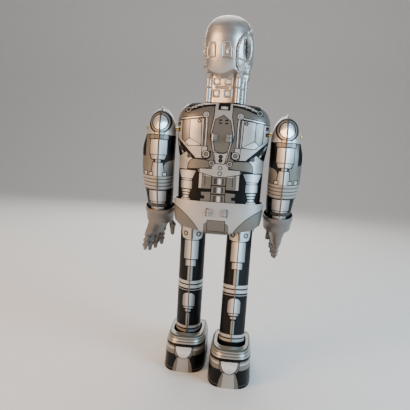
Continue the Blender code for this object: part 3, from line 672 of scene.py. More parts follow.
def waist_mechanism(art):
    """The printed works below the ribs: black field, centre blocks, side plates and pistons."""
    art.lay([(-40, 105), (0, 105), (0, 139), (-14, 139), (-14, 141), (-40, 141)], "black")
    art.piston(-21.6, ((134.0, 139.6, 3.8, 6.2), (132.4, 133.6, 3.7, 3.7), (126.8, 132.2, 4.0, 4.0),
                       (124.6, 126.0, 3.1, 3.1), (122.6, 123.9, 2.6, 2.6), (120.4, 121.9, 2.2, 2.2),
                       (112.0, 119.9, 4.4, 3.0)))
    art.area([(-13.0, 127.8), (-5.0, 128.0), (-5.0, 141.0), (-13.0, 141.0)], "mid")
    art.area([(-13.0, 141.4), (-13.0, 128.0), (-11.2, 128.0), (-11.2, 138.6), (-9.6, 138.6),
              (-9.6, 136.4), (-4.4, 136.4), (-4.4, 141.4)], "light", 0.2)
    art.box(-9.2, 130.0, -8.8, 137.6, "black", 0)
    art.area([(-11.2, 125.4), (-4.6, 125.8), (-4.6, 113.0), (-11.6, 113.0), (-11.4, 120.6),
              (-8.8, 120.8), (-8.8, 123.0), (-10.9, 123.0)], "mid")


def centre_blocks(art):
    for low, high in ((130.8, 136.2), (124.8, 130.0), (118.6, 124.0), (112.4, 117.8)):
        art.box(-4.4, low, 4.4, high, "mid")
        art.box(-3.0, low + 0.8, 3.0, high - 0.9, "dark", 0.16)
        art.box(-2.0, low + 0.6, 1.2, high - 0.9, "round", 0)


def rib_plates(art):
    """The faceted plate beside the spine, with its frame, hinge discs and skirt. Mirrored."""
    art.area([(-31.5, 163.4), (-26.4, 158.6), (-16.4, 148.6), (-12.2, 148.6), (-12.2, 175.6),
              (-27.4, 173.6), (-31.5, 173.2)], "light")
    art.area([(-26.3, 174.0), (-21.1, 174.6), (-21.0, 162.0), (-24.0, 159.3), (-26.2, 161.0)],
             "facet_side")
    art.area([(-21.0, 174.6), (-13.9, 175.3), (-13.3, 157.6), (-21.0, 162.0)], "facet")
    art.area([(-24.0, 159.2), (-21.0, 161.9), (-13.5, 157.5), (-21.2, 156.8)], "facet_low")
    art.stroke([(-31.5, 163.0), (-26.2, 158.4), (-16.6, 149.0)], 0.3)
    art.stroke([(-24.0, 156.9), (-21.2, 156.8), (-12.4, 156.9)], 0.3)
    for angle in range(6):
        turn = radians(60 * angle)
        art.disc(-15.2 + 1.0 * cos(turn), 173.7 + 1.0 * sin(turn), 0.42, "dark", 0.1)
    art.disc(-15.2, 173.7, 0.36, "light", 0.1)
    for z in (171.4, 167.2):
        art.box(-30.2, z - 1.3, -28.0, z + 1.3, "black", 0)
        art.box(-30.0, z - 1.0, -28.9, z + 0.1, "mid", 0)
    art.tube([(-27.4, 174.9), (-13.4, 176.9), (-10.9, 177.8)], 0.8)
    art.tube([(-10.6, 177.2), (-10.2, 170.0), (-10.3, 157.2)], 1.0)
    art.box(-12.2, 149.9, -9.0, 156.6, "light")
    art.stud(-11.0, 178.3, 1.9, "bright", "light")
    art.stud(-9.5, 151.5, 2.3)
    art.stroke([(-24.6, 156.0), (-16.8, 148.2), (-9.4, 148.1), (-6.9, 149.8), (-6.8, 154.0)], 1.1)


def flank(art):
    """Black gap under the arm with a pipe, the light hip yoke and its grey arch. Mirrored."""
    art.lay([(-40, 163.5), (-30.2, 162.6), (-17.2, 149.0), (-17.0, 147.0), (-28.0, 147.0),
             (-40, 150)], "black")
    art.tube([(-29.4, 159.6), (-26.4, 153.6), (-24.6, 150.4)], 1.5, "mid")
    art.stud(-26.9, 154.6, 1.3, "mid", "dark")
    art.area([(-40, 148.6), (-27.6, 149.0), (-22.8, 152.4), (-20.4, 149.0), (-17.6, 147.4),
              (-21.4, 143.8), (-21.6, 140.4), (-40, 140.4)], "light")
    art.disc(-20.8, 149.6, 1.5, "dark", 0)
    art.area([(-21.3, 140.9), (-20.9, 144.6), (-19.4, 146.9), (-17.0, 148.0), (-12.4, 148.0),
              (-6.4, 146.6), (-6.8, 142.6), (-12.6, 141.8)], "mid")


def collar(art):
    """Black collar with light tubes that end in rings. Mirrored."""
    art.mirrored = True
    art.lay([(-25.8, 176.0), (-21.4, 176.8), (-17.0, 178.4), (-13.0, 179.7), (-9.0, 180.5),
             (-5.5, 180.5), (-5.5, 200), (-23.4, 200), (-23.8, 180.6)], "black")
    art.tube([(-22.8, 178.2), (-18.4, 180.4), (-13.4, 181.9), (-5.6, 182.7)], 1.1)
    art.box(-19.2, 179.2, -17.8, 181.0, "light", 0.3)
    art.box(-15.0, 180.6, -13.9, 182.3, "light", 0.3)
    art.stud(-23.3, 177.9, 1.7, "light", "dark")


def torso_back_print():
    art = Print(mirrored=True)
    waist_mechanism(art)
    flank(art)
    rib_plates(art)
    art.mirrored = False
    art.area([(-5.8, 200), (-5.6, 177.6), (-8.0, 165.8), (-6.2, 158.6), (-4.0, 147.6), (3.8, 147.6),
              (6.0, 158.6), (7.4, 165.8), (5.6, 177.6), (5.6, 200)], "light")
    art.area([(-0.2, 178.2), (4.7, 175.0), (6.3, 165.5), (5.0, 161.0), (4.0, 154.6), (1.6, 153.4),
              (-1.8, 153.4), (-4.1, 154.4), (-5.6, 160.6), (-6.9, 164.8), (-4.8, 174.6)], "mid")
    for x in (-2.5, 1.5):
        for z in (175.0, 173.0):
            art.box(x - 0.95, z - 0.45, x + 0.95, z + 0.45, "black", 0)
    art.area([(-4.2, 153.2), (-1.8, 152.4), (1.6, 152.4), (4.2, 153.2), (2.7, 145.8), (-2.7, 145.8)],
             "light")
    for z in (150.4, 147.7):
        art.stud(-0.2, z, 0.95, "mid", "dark")
    art.box(-4.1, 181.9, 3.6, 200, "black", 0)
    art.box(-2.6, 182.5, 2.0, 184.5, "light", 0)
    art.box(-1.2, 182.9, 0.8, 184.5, "bright", 0)
    art.area([(-13.2, 141.4), (-5.4, 141.6), (-5.6, 146.4), (-2.9, 145.2), (2.9, 145.2), (5.2, 146.4),
              (4.8, 141.6), (13.0, 141.4), (13.0, 139.0), (4.4, 137.0), (4.4, 136.6), (-4.4, 136.6),
              (-4.4, 137.0), (-13.2, 139.0)], "light")
    art.stud(-6.2, 145.6, 1.7)
    art.stud(5.6, 145.6, 1.7)
    art.disc(-0.3, 142.6, 1.05, "light")
    art.disc(-0.3, 138.8, 1.05, "light")
    centre_blocks(art)
    art.settle(WAIST_Z, PRINT_SHARE)
    collar(art)
    return art


def torso_front_print():
    """A plainer chest in the same manner: breast plates, a round gauge and a row of vents."""
    art = Print(mirrored=True)
    waist_mechanism(art)
    art.lay([(-40, 163.5), (-29.4, 160.6), (-17.2, 149.0), (-17.0, 147.0), (-40, 147.0)], "black")
    art.tube([(-29.0, 158.6), (-24.6, 151.2)], 1.6, "mid")
    art.area([(-40, 148.4), (-24.0, 149.6), (-17.6, 147.4), (-21.6, 140.4), (-40, 140.4)], "light")
    art.area([(-20.8, 140.9), (-19.0, 146.6), (-7.0, 146.6), (-7.0, 141.6)], "mid")
    art.area([(-29.6, 164.0), (-24.0, 157.4), (-8.0, 153.6), (-8.0, 176.0), (-24.0, 175.0),
              (-29.6, 171.6)], "light")
    art.area([(-26.6, 165.0), (-22.6, 159.2), (-10.0, 156.2), (-10.0, 165.0)], "facet_low")
    art.area([(-26.6, 165.6), (-10.0, 165.6), (-10.0, 174.0), (-22.8, 173.0)], "facet")
    for x in (-23.0, -19.6, -16.2, -12.8):
        art.box(x - 0.5, 167.2, x + 0.5, 171.8, "dark", 0.14)
    art.stud(-26.2, 171.0, 1.2)
    art.mirrored = False
    art.area([(-6.0, 147.0), (6.0, 147.0), (6.6, 176.8), (3.0, 181.0), (-3.0, 181.0), (-6.6, 176.8)],
             "mid")
    art.disc(0, 170.4, 4.2, "light")
    art.disc(0, 170.4, 3.3, "black", 0)
    art.disc(0, 170.4, 2.6, "up", 0.1)
    for z in (163.4, 160.6, 157.8, 155.0):
        art.box(-3.6, z - 0.7, 3.6, z + 0.7, "round_z")
    art.stud(0, 150.8, 1.6)
    art.area([(-13.2, 141.4), (-5.4, 143.6), (5.4, 143.6), (13.2, 141.4), (13.2, 138.6), (-13.2, 138.6)],
             "light")
    centre_blocks(art)
    art.settle(WAIST_Z, PRINT_SHARE)
    collar(art)
    return art


def pelvis_print(way):
    art = Print()
    for side in (-1, 1):
        art.area([(side * 40, 116.6), (side * 29.6, 114.4), (side * 24.0, 111.6), (side * 19.2, 107.9),
                  (side * 15.6, 104.2), (side * 12.8, 100.6), (side * 10.4, 95.0), (side * 40, 95.0)],
                 "mid")
    art.lay([(-8.4, 90.0), (-8.4, 103.6), (-6.8, 105.2), (6.8, 105.2), (8.4, 103.6), (8.4, 90.0)],
            "base")
    art.box(-5.7, 99.3, 5.7, 106.6, "mid", 0.4)
    art.box(-5.0, 100.0, 5.0, 105.9, "base", 0)
    if way < 0:
        art.stud(-14.0, 113.4, 1.5)
        art.stud(14.0, 113.4, 1.5)
    return art


def cut_slots(art, tab_z, reach):
    """Two holes in the tin that the bent lugs come out of."""
    for side in (-1, 1):
        art.box(side * LUG_X - 0.9, tab_z - reach, side * LUG_X + 0.9, tab_z + reach, None, 0)


def make_torso():
    rows = meridian(TORSO, (TORSO[-1][0], 4.0, 4.0, 4.0))
    unroll = body_unroll(rows, flat_top=True)
    for way, name, art in ((1, "torso_back", torso_back_print()),
                           (-1, "torso_front", torso_front_print())):
        top = TORSO[-1][0] + rows[-1][0] - rows[-2][0]
        rivet = round_outline(31.2, SHOULDER_Z, 1.9, count=12)
        art.shapes.append((rivet, None))
        art.shapes.append(([(-x, z) for x, z in reversed(rivet)], None))
        if way > 0:
            cut_slots(art, UPPER_LUG[1], 2.6)
        low = TORSO[0][0]
        outline = [(-SHEET_REACH, low), (SHEET_REACH, low), (SHEET_REACH, top), (-SHEET_REACH, top)]
        shell = printed_shell(f"{name}_print", art, outline, unroll, body_place(rows, way), "base")
        carry(shell, "body", "printed_tin", name)
    make_pelvis()


def make_pelvis():
    rows = meridian(PELVIS)
    unroll = body_unroll(rows)
    for way, name in ((1, "pelvis_back"), (-1, "pelvis_front")):
        art = pelvis_print(way)
        if way > 0:
            cut_slots(art, LOWER_LUG[1], 2.7)
        # The crotch strip reaches down between the leg openings, whose edges arch up to each side.
        arch = [(7.4, 97.2), (12.0, 98.6), (17.0, 99.6), (22.0, 100.4), (25.4, 101.6), (27.6, 103.4),
                (SHEET_REACH, 107.0)]
        left = [(-x, z) for x, z in arch]
        outline = [(SHEET_REACH, 118.9), (-SHEET_REACH, 118.9)] + list(reversed(left))
        outline += [(-6.6, 96.5), (6.6, 96.5)] + arch
        shell = printed_shell(f"{name}_print", art, outline, unroll, body_place(rows, way), "light",
                              spacing=1.3)
        carry(shell, "body", "printed_tin", name)


# ---------------------------------------------------------------- arms

# Sections: height, inner edge from the robot's middle, width, depth from front to back
ARM = (
    (105.8, 33.4, 16.0, 16.2),
    (110.0, 33.1, 16.6, 17.0),
    (118.0, 32.6, 18.2, 18.8),
    (128.0, 32.3, 20.6, 20.8),
    (140.0, 32.2, 22.0, 22.0),
    (150.0, 32.2, 22.0, 22.6),
    (160.0, 32.2, 20.0, 23.0),
    (167.0, 32.8, 18.0, 22.2),
    (172.0, 34.4, 15.0, 19.0),
    (175.6, 36.8, 10.2, 13.6),
    (177.6, 39.3, 5.2, 7.0),
    (178.1, 41.5, 0.8, 1.0),
)
ARM_SEAM_X = 41.9
ARM_BEND_START = 155.0
WRIST_Z = joint_point("left_hand_turn").z
WRIST_SLOPE = JOINTS["left_hand_turn"]["axis"][1] / JOINTS["left_hand_turn"]["axis"][2]
ARM_SHEET = 10.5
FIN_PROUD = 1.3


def arm_lean(z):
    """How far forward the arm's centreline has moved, and its slope, at a height."""
    below = max(0.0, ARM_BEND_START - z)
    full = ARM_BEND_START - WRIST_Z
    return -WRIST_SLOPE * below * below / (2 * full), WRIST_SLOPE * below / full


def arm_rows():
    made = []
    length = 0.0
    for i, row in enumerate(ARM):
        if i:
            before = ARM[i - 1]
            length += hypot(row[0] - before[0], (row[3] - before[3]) / 2)
        made.append((length, *row))
    return made


ARM_ROWS = arm_rows()


def arm_place(side, part):
    """Points of one half of an arm. The sheet angle runs from the back seam round to the front."""

    def place(a, v):
        z = table_value(ARM_ROWS, 1, v)
        inner = table_value(ARM_ROWS, 2, v)
        width = table_value(ARM_ROWS, 3, v)
        depth = table_value(ARM_ROWS, 4, v) / 2
        reach = inner + width - ARM_SEAM_X if part == "outer" else ARM_SEAM_X - inner
        across, along = squarish(a / ARM_SHEET, 2.2)
        lean, slope = arm_lean(z)
        size = sqrt(1 + slope * slope)
        way = 1 if part == "outer" else -1
        x = ARM_SEAM_X + way * max(0.02, reach) * across
        return side * x, MIDDLE_Y + lean + depth * along / size, z - depth * along * slope / size

    return place


def arm_unroll(part):
    """From x out from the seam and z, as seen from behind, to sheet coordinates."""

    def unroll(x, z):
        z = max(ARM[0][0], min(ARM[-1][0], z))
        v = row_place(ARM_ROWS, 0.0, ARM_ROWS[-1][0], z)
        inner, width = table_value(ARM_ROWS, 2, v), table_value(ARM_ROWS, 3, v)
        reach = inner + width - ARM_SEAM_X if part == "outer" else ARM_SEAM_X - inner
        return ARM_SHEET * squarish_angle(x / max(0.5, reach), 2.2), v

    return unroll


def arm_half_print(part):
    """Shapes in x out from the seam and z. Negative x runs past the seam and is cut off there."""
    art = Print()
    art.box(-3, 160.4, 11.8, 104.0, "black", 0)
    if part == "outer":
        art.lay([(3, 144.0), (11.8, 147.0), (11.8, 134.4), (3, 134.4)], "mid")
        art.lay([(5.6, 160.0), (8.8, 160.0), (8.8, 134.6), (5.0, 134.6)], "mid")
    else:
        art.area([(2.6, 134.4), (3.2, 139.6), (5.2, 142.8), (7.4, 144.0), (11.8, 144.4), (11.8, 134.4)],
                 "mid")
    art.box(-6.2, 157.6, 6.2, 160.2, "mid")
    art.box(-3.0, 157.8, 3.0, 160.0, "base", 0.2)
    art.piston(0, ((147.6, 157.0, 5.6, 5.6), (144.9, 147.4, 4.2, 5.2), (142.9, 144.6, 1.9, 1.9),
                   (134.2, 142.6, 4.6, 3.2)))
    art.box(3.6, 134.6, 5.6, 136.4, "light")
    if part == "outer":
        art.box(7.6, 134.6, 9.4, 136.8, "light")
    for band in range(4):
        low = 125.4 + band * 2.25
        art.box(-3, low, 11.8, low + 1.95, "soft_band", 0.16)
    art.box(-3, 125.2, 11.8, 104, "black", 0)
    if part == "outer":
        art.lay([(8.6, 125.0), (9.9, 125.0), (9.0, 106.0), (7.2, 106.0)], "mid")
    art.piston(0, ((117.2, 124.6, 5.7, 5.9), (115.9, 116.8, 5.2, 5.2)))
    art.box(-6.2, 114.0, 6.2, 115.4, "dark")
    art.piston(0, ((104.0, 113.4, 4.4, 4.6),))
    art.disc(0, 168.6, 7.7, "black", 0)
    art.disc(0, 168.6, 6.6, "ring", 0)
    art.disc(0, 168.6, 4.9, "ball", 0.6)
    art.box(2.4, 160.5, 2.8, 162.4, "black", 0)
    art.box(-1.0, 160.6, 3.0, 161.8, "light")
    return art


def arm_sheet(name, part, side):
    """Half an arm: the print near the back seam, and the same again, turned over, at the front."""
    back = arm_half_print(part)
    unroll = arm_unroll(part)
    quarter = ARM_SHEET * pi / 2
    art = Print()
    for points, colour in back.shapes:
        flat = [unroll(*p) for p in dense(points, 1.1)]
        art.shapes.append((flat, colour))
        art.shapes.append(([(2 * quarter - a, v) for a, v in reversed(flat)], colour))
    rivet_v = unroll(0, SHOULDER_Z)[1]
    if part == "outer":
        art.shapes.append((round_outline(quarter, rivet_v, 2.9, count=20), "tin"))
    art.shapes.append((round_outline(quarter, rivet_v, 1.6, count=14), None))
    v0, v1 = ARM_ROWS[0][0], ARM_ROWS[-1][0]
    outline = [(0.0, v0), (2 * quarter, v0), (2 * quarter, v1), (0.0, v1)]
    way = side if part == "outer" else -side
    return printed_shell(name, art, outline, lambda a, v: (a, v), arm_place(side, part), "light",
                         crease=(side * ARM_SEAM_X, way))


def seam_fin(name, spine, half):
    """A raised, folded seam along a spine of (point, outward direction), with a rounded edge."""
    profile = [(-1.0, 1.0), (0.62, 1.0), (0.9, 0.72), (1.0, 0.0), (0.9, -0.72), (0.62, -1.0),
               (-1.0, -1.0)]
    bm = bmesh.new()
    rings = []
    for point, outward in spine:
        rings.append([bm.verts.new((point + outward * FIN_PROUD * max(-0.6, r) + ACROSS * half * s)
                                   * MM) for r, s in profile])
    join_rings(bm, rings)
    bm.faces.new(rings[0])
    bm.faces.new(list(reversed(rings[-1])))
    bmesh.ops.recalc_face_normals(bm, faces=bm.faces)
    mesh = bpy.data.meshes.new(name)
    bm.to_mesh(mesh)
    bm.free()
    mesh.materials.append(INKS["seam"])
    mesh.shade_smooth()
    mesh.set_sharp_from_angle(angle=radians(40))
    return add_object(name, mesh)


def arm_spine(side):
    """The seam's path up the back of an arm, over the shoulder and down the front."""
    spine = []
    place = arm_place(side, "outer")
    start, end, steps = 7.2, ARM_ROWS[-1][0], 46
    for angle in (0.0, pi):
        for i in range(steps):
            share = i / (steps - 1)
            v = start + (end - start) * (share if angle == 0 else 1 - share)
            here = Vector(place(ARM_SHEET * angle, v))
            near = Vector(place(ARM_SHEET * angle, v - 0.1))
            ahead = Vector(place(ARM_SHEET * angle, v + 0.1))
            along = (ahead - near) if (ahead - near).length > 1e-9 else Vector((0, 0, 1))
            along.normalize()
            outward = along.cross(ACROSS)
            if outward.dot(here - Vector((here.x, MIDDLE_Y, here.z - 8))) < 0:
                outward = -outward
            here.x = side * ARM_SEAM_X
            spine.append((here, outward.normalized()))
    return spine


def make_arms():
    for side, label in ((1, "left"), (-1, "right")):
        for part in ("inner", "outer"):
            node = f"{label}_arm_{part}"
            carry(arm_sheet(f"{node}_print", part, side), f"{label}_arm", "printed_tin", node)
        fin = seam_fin(f"{label}_arm_seam", arm_spine(side), 0.5)
        carry(fin, f"{label}_arm", "printed_tin")


# ---------------------------------------------------------------- legs

LEG_RADIUS = 8.75
LEG_X = joint_point("left_leg_swing").x
HIP = joint_point("left_leg_swing")
# Distance from the hip's axle to the ankle's
LEG_LENGTH = 86.0
LEG_TOP = 107.6
LEG_BOTTOM = 8.6
SEAM_LOW, SEAM_HIGH = 24.2, 104.0


def leg_tilt(side):
    """The leg's rest angle about the hip, from the hip and ankle joints."""
    label = "left" if side > 0 else "right"
    ankle = joint_point(f"{label}_ankle") - joint_point(f"{label}_leg_swing")
    return atan2(ankle.y, -ankle.z)


def leg_point(tilt, x, y, height):
    """A point of an upright leg, leaned about the hip's axle."""
    z = height - HIP.z
    return x, HIP.y + y * cos(tilt) - z * sin(tilt), HIP.z + y * sin(tilt) + z * cos(tilt)


def leg_place(side, part):
    tilt = leg_tilt(side)
    way = 1 if part == "outer" else -1

    def place(a, v):
        angle = a / LEG_RADIUS
        x = side * (LEG_X + way * LEG_RADIUS * sin(angle))
        return leg_point(tilt, x, LEG_RADIUS * cos(angle), v)

    return place


def leg_half_print():
    """Shapes in sheet coordinates: distance round the tube from the back seam, and height."""
    art = Print()
    art.box(-2, 26.4, 40, 28.4, "light", 0)
    art.box(-2, 23.6, 40, 25.4, "light", 0)
    art.lay([(-2, 92.0), (2.6, 91.4), (7.4, 92.8), (8.6, 96.0), (8.4, 112), (-2, 112)], "light")
    art.shapes.insert(2, ([(-2, 91.6), (2.8, 91.0), (7.8, 92.5), (9.0, 96.0), (8.9, 112), (-2, 112)],
                          "black"))
    art.lay([(-1, 92.6), (0.7, 92.4), (0.7, 112), (-1, 112)], "black")
    art.disc(4.6, 95.9, 1.35, "mid")
    art.disc(4.6, 95.9, 0.7, "light", 0.2)
    art.box(-4.9, 78.0, 5.1, 91.2, "round")
    art.box(-3.2, 73.0, 3.6, 77.2, "round")
    art.box(-1.7, 62.4, 1.7, 72.6, "soft")
    for low, high in ((59.8, 62.0), (56.6, 58.8)):
        art.box(-2, low, 40, high, "light", 0.16)
    art.box(-2, 55.0, 40, 55.35, "light", 0)
    art.area([(-4.4, 43.2), (4.4, 43.2), (4.4, 50.6), (3.4, 52.2), (1.6, 53.0), (-1.6, 53.0),
              (-3.4, 52.2), (-4.4, 50.6)], "round")
    art.box(-3.4, 41.5, 3.4, 42.6, "round")
    art.area([(-1.9, 39.2), (1.9, 39.2), (2.2, 40.6), (-2.2, 40.6)], "round", 0.14)
    art.box(-1.2, 28.8, 1.2, 38.0, "soft")
    art.box(12.0, 104, 12.9, 63.2, "dark", 0)
    art.box(11.6, 54.0, 12.7, 29.4, "dark", 0)
    return art


def leg_sheet(name, part, side):
    """Half a leg: the print near the back seam is turned over for the front, and holes are cut."""
    half = LEG_RADIUS * pi
    art = leg_half_print()
    front = [([(half - a, v) for a, v in reversed(points)], colour)
             for points, colour in art.shapes if max(a for a, _ in points) < 30]
    art.shapes += front
    for z in (HIP.z, HIP.z - LEG_LENGTH):
        art.shapes.append((round_outline(half / 2, z, 1.75, count=18), None))
    outline = [(0, LEG_BOTTOM), (half, LEG_BOTTOM), (half, LEG_TOP), (0, LEG_TOP)]
    way = side if part == "outer" else -side
    return printed_shell(name, art, outline, lambda a, v: (a, v), leg_place(side, part), "black", 1.8,
                         (side * LEG_X, way))


def leg_spine(side, way):
    """The seam's path up the back (way 1) or the front (way -1) of a leg."""
    tilt = leg_tilt(side)
    outward = Vector((0, way * cos(tilt), way * sin(tilt)))
    return [(Vector(leg_point(tilt, side * LEG_X, way * LEG_RADIUS,
                              SEAM_LOW + (SEAM_HIGH - SEAM_LOW) * i / 23)), outward)
            for i in range(24)]


def make_legs():
    for side, label in ((1, "left"), (-1, "right")):
        for part in ("inner", "outer"):
            node = f"{label}_leg_{part}"
            carry(leg_sheet(f"{node}_print", part, side), f"{label}_leg", "printed_tin", node)
        for way, end in ((1, "back"), (-1, "front")):
            fin = seam_fin(f"{label}_leg_seam_{end}", leg_spine(side, way), 0.45)
            carry(fin, f"{label}_leg", "printed_tin")


# ---------------------------------------------------------------- feet

HEEL, TOE = 24.5, 41.5
FOOT_HEIGHT, TOE_HEIGHT = 24.0, 16.0
# Levels: distance up the sheet, share of the foot's height, half width, reach to heel, reach to toe
FOOT_LEVELS = (
    (0.0, 0.0, 14.5, 24.5, 41.5),
    (1.9, 0.08, 14.3, 24.2, 41.1),
    (12.0, 0.5, 14.1, 23.6, 40.0),
    (18.8, 0.78, 13.7, 22.6, 38.0),
    (22.4, 0.93, 12.7, 21.0, 35.8),
    (25.4, 1.0, 11.4, 18.6, 32.6),
    (30.0, 1.0, 9.9, 13.6, 13.6),
)
FOOT_SHEET = 20.0
FOOT_POWER = 3.2


def foot_place(side):
    label = "left" if side > 0 else "right"
    centre = joint_point(f"{label}_ankle")

    def place(a, v):
        across, along = squarish(a / FOOT_SHEET, FOOT_POWER)
        x = table_value(FOOT_LEVELS, 2, v) * across
        y = table_value(FOOT_LEVELS, 3 if along > 0 else 4, v) * along
        slope = min(1.0, max(0.0, (-y - 12.0) / (TOE - 12.0)))
        height = FOOT_HEIGHT - (FOOT_HEIGHT - TOE_HEIGHT) * slope * slope * (3 - 2 * slope)
        return centre.x + x, centre.y + y, table_value(FOOT_LEVELS, 1, v) * height

    return place


def foot_print():
    """Shapes in sheet coordinates: distance round from the heel's middle, and up the side."""
    full = FOOT_SHEET * pi
    art = Print()
    art.box(-full, -1, full, 17.0, "black", 0)
    art.box(-full, 1.5, full, 2.0, "dark", 0)
    for centre in (0.0, full):
        for sign in (-1, 1):
            near, far = centre + sign * 7.6, centre + sign * 40.0
            art.box(near, 17.6, far, 12.0, "mid", 0)
            art.box(near, 16.4, far, 15.2, "light", 0)
    art.box(-full, 19.4, full, 17.6, "black", 0)
    for centre in (0.0, full, -full):
        art.area([(centre - 9.6, -1), (centre + 9.6, -1), (centre + 8.0, 5.6), (centre + 5.6, 10.4),
                  (centre - 5.6, 10.4), (centre - 8.0, 5.6)], "base")
        art.area([(centre - 6.0, -1), (centre + 6.0, -1), (centre + 4.6, 9.6), (centre - 4.6, 9.6)],
                 "tongue", 0)
        for sign in (-1, 1):
            art.area([(centre + sign * 9.0, 17.2), (centre + sign * 7.6, 17.2),
                      (centre + sign * 5.0, 11.4), (centre + sign * 6.6, 10.4),
                      (centre + sign * 8.4, 12.4)], "base")
        arc = [(centre + 7.5 * cos(t), 17.3 + 7.9 * sin(t))
               for t in [pi + pi * i / 14 for i in range(15)]]
        art.area(arc, "bright_ball")
    art.box(-full, 19.2, full, 23.4, "rim", 0)
    for low in (19.5, 21.0, 22.9):
        art.box(-full, low, full, low + 0.35, "light", 0)
    for low in (20.3, 22.1):
        art.box(-full, low, full, low + 0.3, "dark", 0)
    art.box(-full, 23.4, full, 40, "green", 0)
    for low, wide in ((25.6, 0.4), (27.0, 0.3)):
        art.box(-full, low, full, low + wide, "rim", 0)
    art.box(-full, 29.1, full, 40, "rim", 0)
    return art


def make_feet():
    full = FOOT_SHEET * pi
    for side, label in ((1, "left"), (-1, "right")):
        outline = [(-full, 0.0), (full, 0.0), (full, 30.0), (-full, 30.0)]
        shell = printed_shell(f"{label}_foot_print", foot_print(), outline, lambda a, v: (a, v),
                              foot_place(side), "black", spacing=1.8)
        carry(shell, f"{label}_foot", "printed_tin", f"{label}_foot_shell")


# ---------------------------------------------------------------- head

# Sections: height, half width, depth to the face, depth to the back
HEAD = (
    (184.0, 13.4, 8.6, 9.0),
    (198.4, 13.4, 10.5, 9.2),
    (200.6, 13.8, 17.5, 9.3),
    (203.2, 14.2, 18.9, 9.7),
    (205.6, 14.6, 19.6, 15.8),
    (209.0, 15.2, 20.2, 18.4),
    (216.0, 15.7, 20.6, 19.4),
    (223.0, 15.7, 20.4, 19.6),
    (230.0, 14.8, 18.8, 18.4),
    (235.0, 12.5, 15.6, 15.4),
    (238.4, 8.6, 10.4, 10.4),
    (240.0, 3.0, 3.6, 3.6),
    (240.1, 0.1, 0.1, 0.1),
)
HEAD_POWER = 2.2
HEAD_TURN = radians(-17.0)
HEAD_SEAM = 5.0
HEAD_WALL = 1.1
# Where the skull cap ends on each side: height, and angle from the middle of the back
CAP_EDGE = ((199.0, 50.0), (202.6, 45.0), (209.0, 39.5), (217.4, 38.0), (223.0, 45.0), (227.0, 57.0),
            (230.0, 72.0), (233.0, 92.0), (236.0, 130.0), (238.5, 180.0))
# The ears: angle from the middle of the back, height, and half width and half height of the hollow
EAR_ANGLE = 71.0
EAR_Z = 218.6
EAR_HALF = (3.2, 7.2)
# Heights of the two pins on each side of the neck
NECK_PINS = (188.0, 196.3)
# Depth of the skull cap's lower lobe behind the neck: height, depth
LOBE = ((198.8, 11.6), (199.6, 12.9), (201.0, 14.2), (204.5, 16.7), (206.5, 17.6), (209.0, 18.4))


def ease(value):
    """0 below 0, 1 above 1, and smooth in between."""
    value = np.clip(value, 0.0, 1.0)
    return value * value * (3 - 2 * value)


def bump(distance, radius):
    """A round-topped button of unit height."""
    return np.sqrt(np.clip(1 - (distance / radius) ** 2, 0.0, 1.0))


def groove(x, z, points, width):
    """How far into an engraved line each spot lies, for a closed or open run of points."""
    nearest = np.full(x.shape, 99.0)
    for (x0, z0), (x1, z1) in zip(points, points[1:]):
        dx, dz = x1 - x0, z1 - z0
        share = np.clip(((x - x0) * dx + (z - z0) * dz) / (dx * dx + dz * dz), 0, 1)
        nearest = np.minimum(nearest, np.hypot(x - x0 - share * dx, z - z0 - share * dz))
    return ease(1 - nearest / width)


def framed(x, z, low_x, low_z, high_x, high_z, width):
    return groove(x, z, [(low_x, low_z), (high_x, low_z), (high_x, high_z), (low_x, high_z),
                         (low_x, low_z)], width)


def cap_edge(z):
    return np.interp(z, [row[0] for row in CAP_EDGE], [row[1] for row in CAP_EDGE])


def lobe_edge(x):
    """Height of the skull cap's lower edge, which hangs lowest in the middle."""
    return 199.7 + 0.053 * x * x


def back_depth(x, z, plain):
    """Depth of the back of the head, with the rounded lower end of the cap out over the neck."""
    if z >= LOBE[-1][0]:
        return plain
    share = sqrt(ease((z - lobe_edge(x)) / 1.8))
    return plain + share * max(0.0, table_value(LOBE, 1, z) - plain)


def cap_relief(angle, x, z, reach):
    """The skull cap, the groove and rivets along its edge, and two windows in its back."""
    beyond = np.radians(np.abs(angle) - cap_edge(z)) * reach
    relief = -1.2 * ease(beyond / 0.6) * np.exp(-np.clip(beyond, 0, None) / 6.0)
    relief -= 1.3 * ease(1 - np.abs(beyond - 0.5) / 0.75)
    for height in np.arange(204.6, 234.0, 2.3):
        for side in (-1, 1):
            row = float(cap_edge(height))
            off = np.radians(angle - side * row) * reach - side * 1.75
            relief += 1.5 * bump(np.hypot(off, (z - height) * 0.9), 0.9)
    window = [(3.2, 219.8), (7.4, 219.8), (8.4, 216.8), (8.4, 211.2), (2.6, 211.2), (2.6, 218.0),
              (3.2, 219.8)]
    for side in (-1, 1):
        relief -= 0.9 * groove(x * side, z, window, 0.6)
        inside = ease((x * side - 2.8) / 0.5) * ease((8.2 - x * side) / 0.5)
        relief -= 0.3 * inside * ease((z - 211.4) / 0.5) * ease((219.6 - z) / 0.5)
    relief -= 0.5 * groove(x, z, [(-5.4, 213.4), (-5.4, 215.4), (-6.6, 216.2)], 0.5)
    return relief


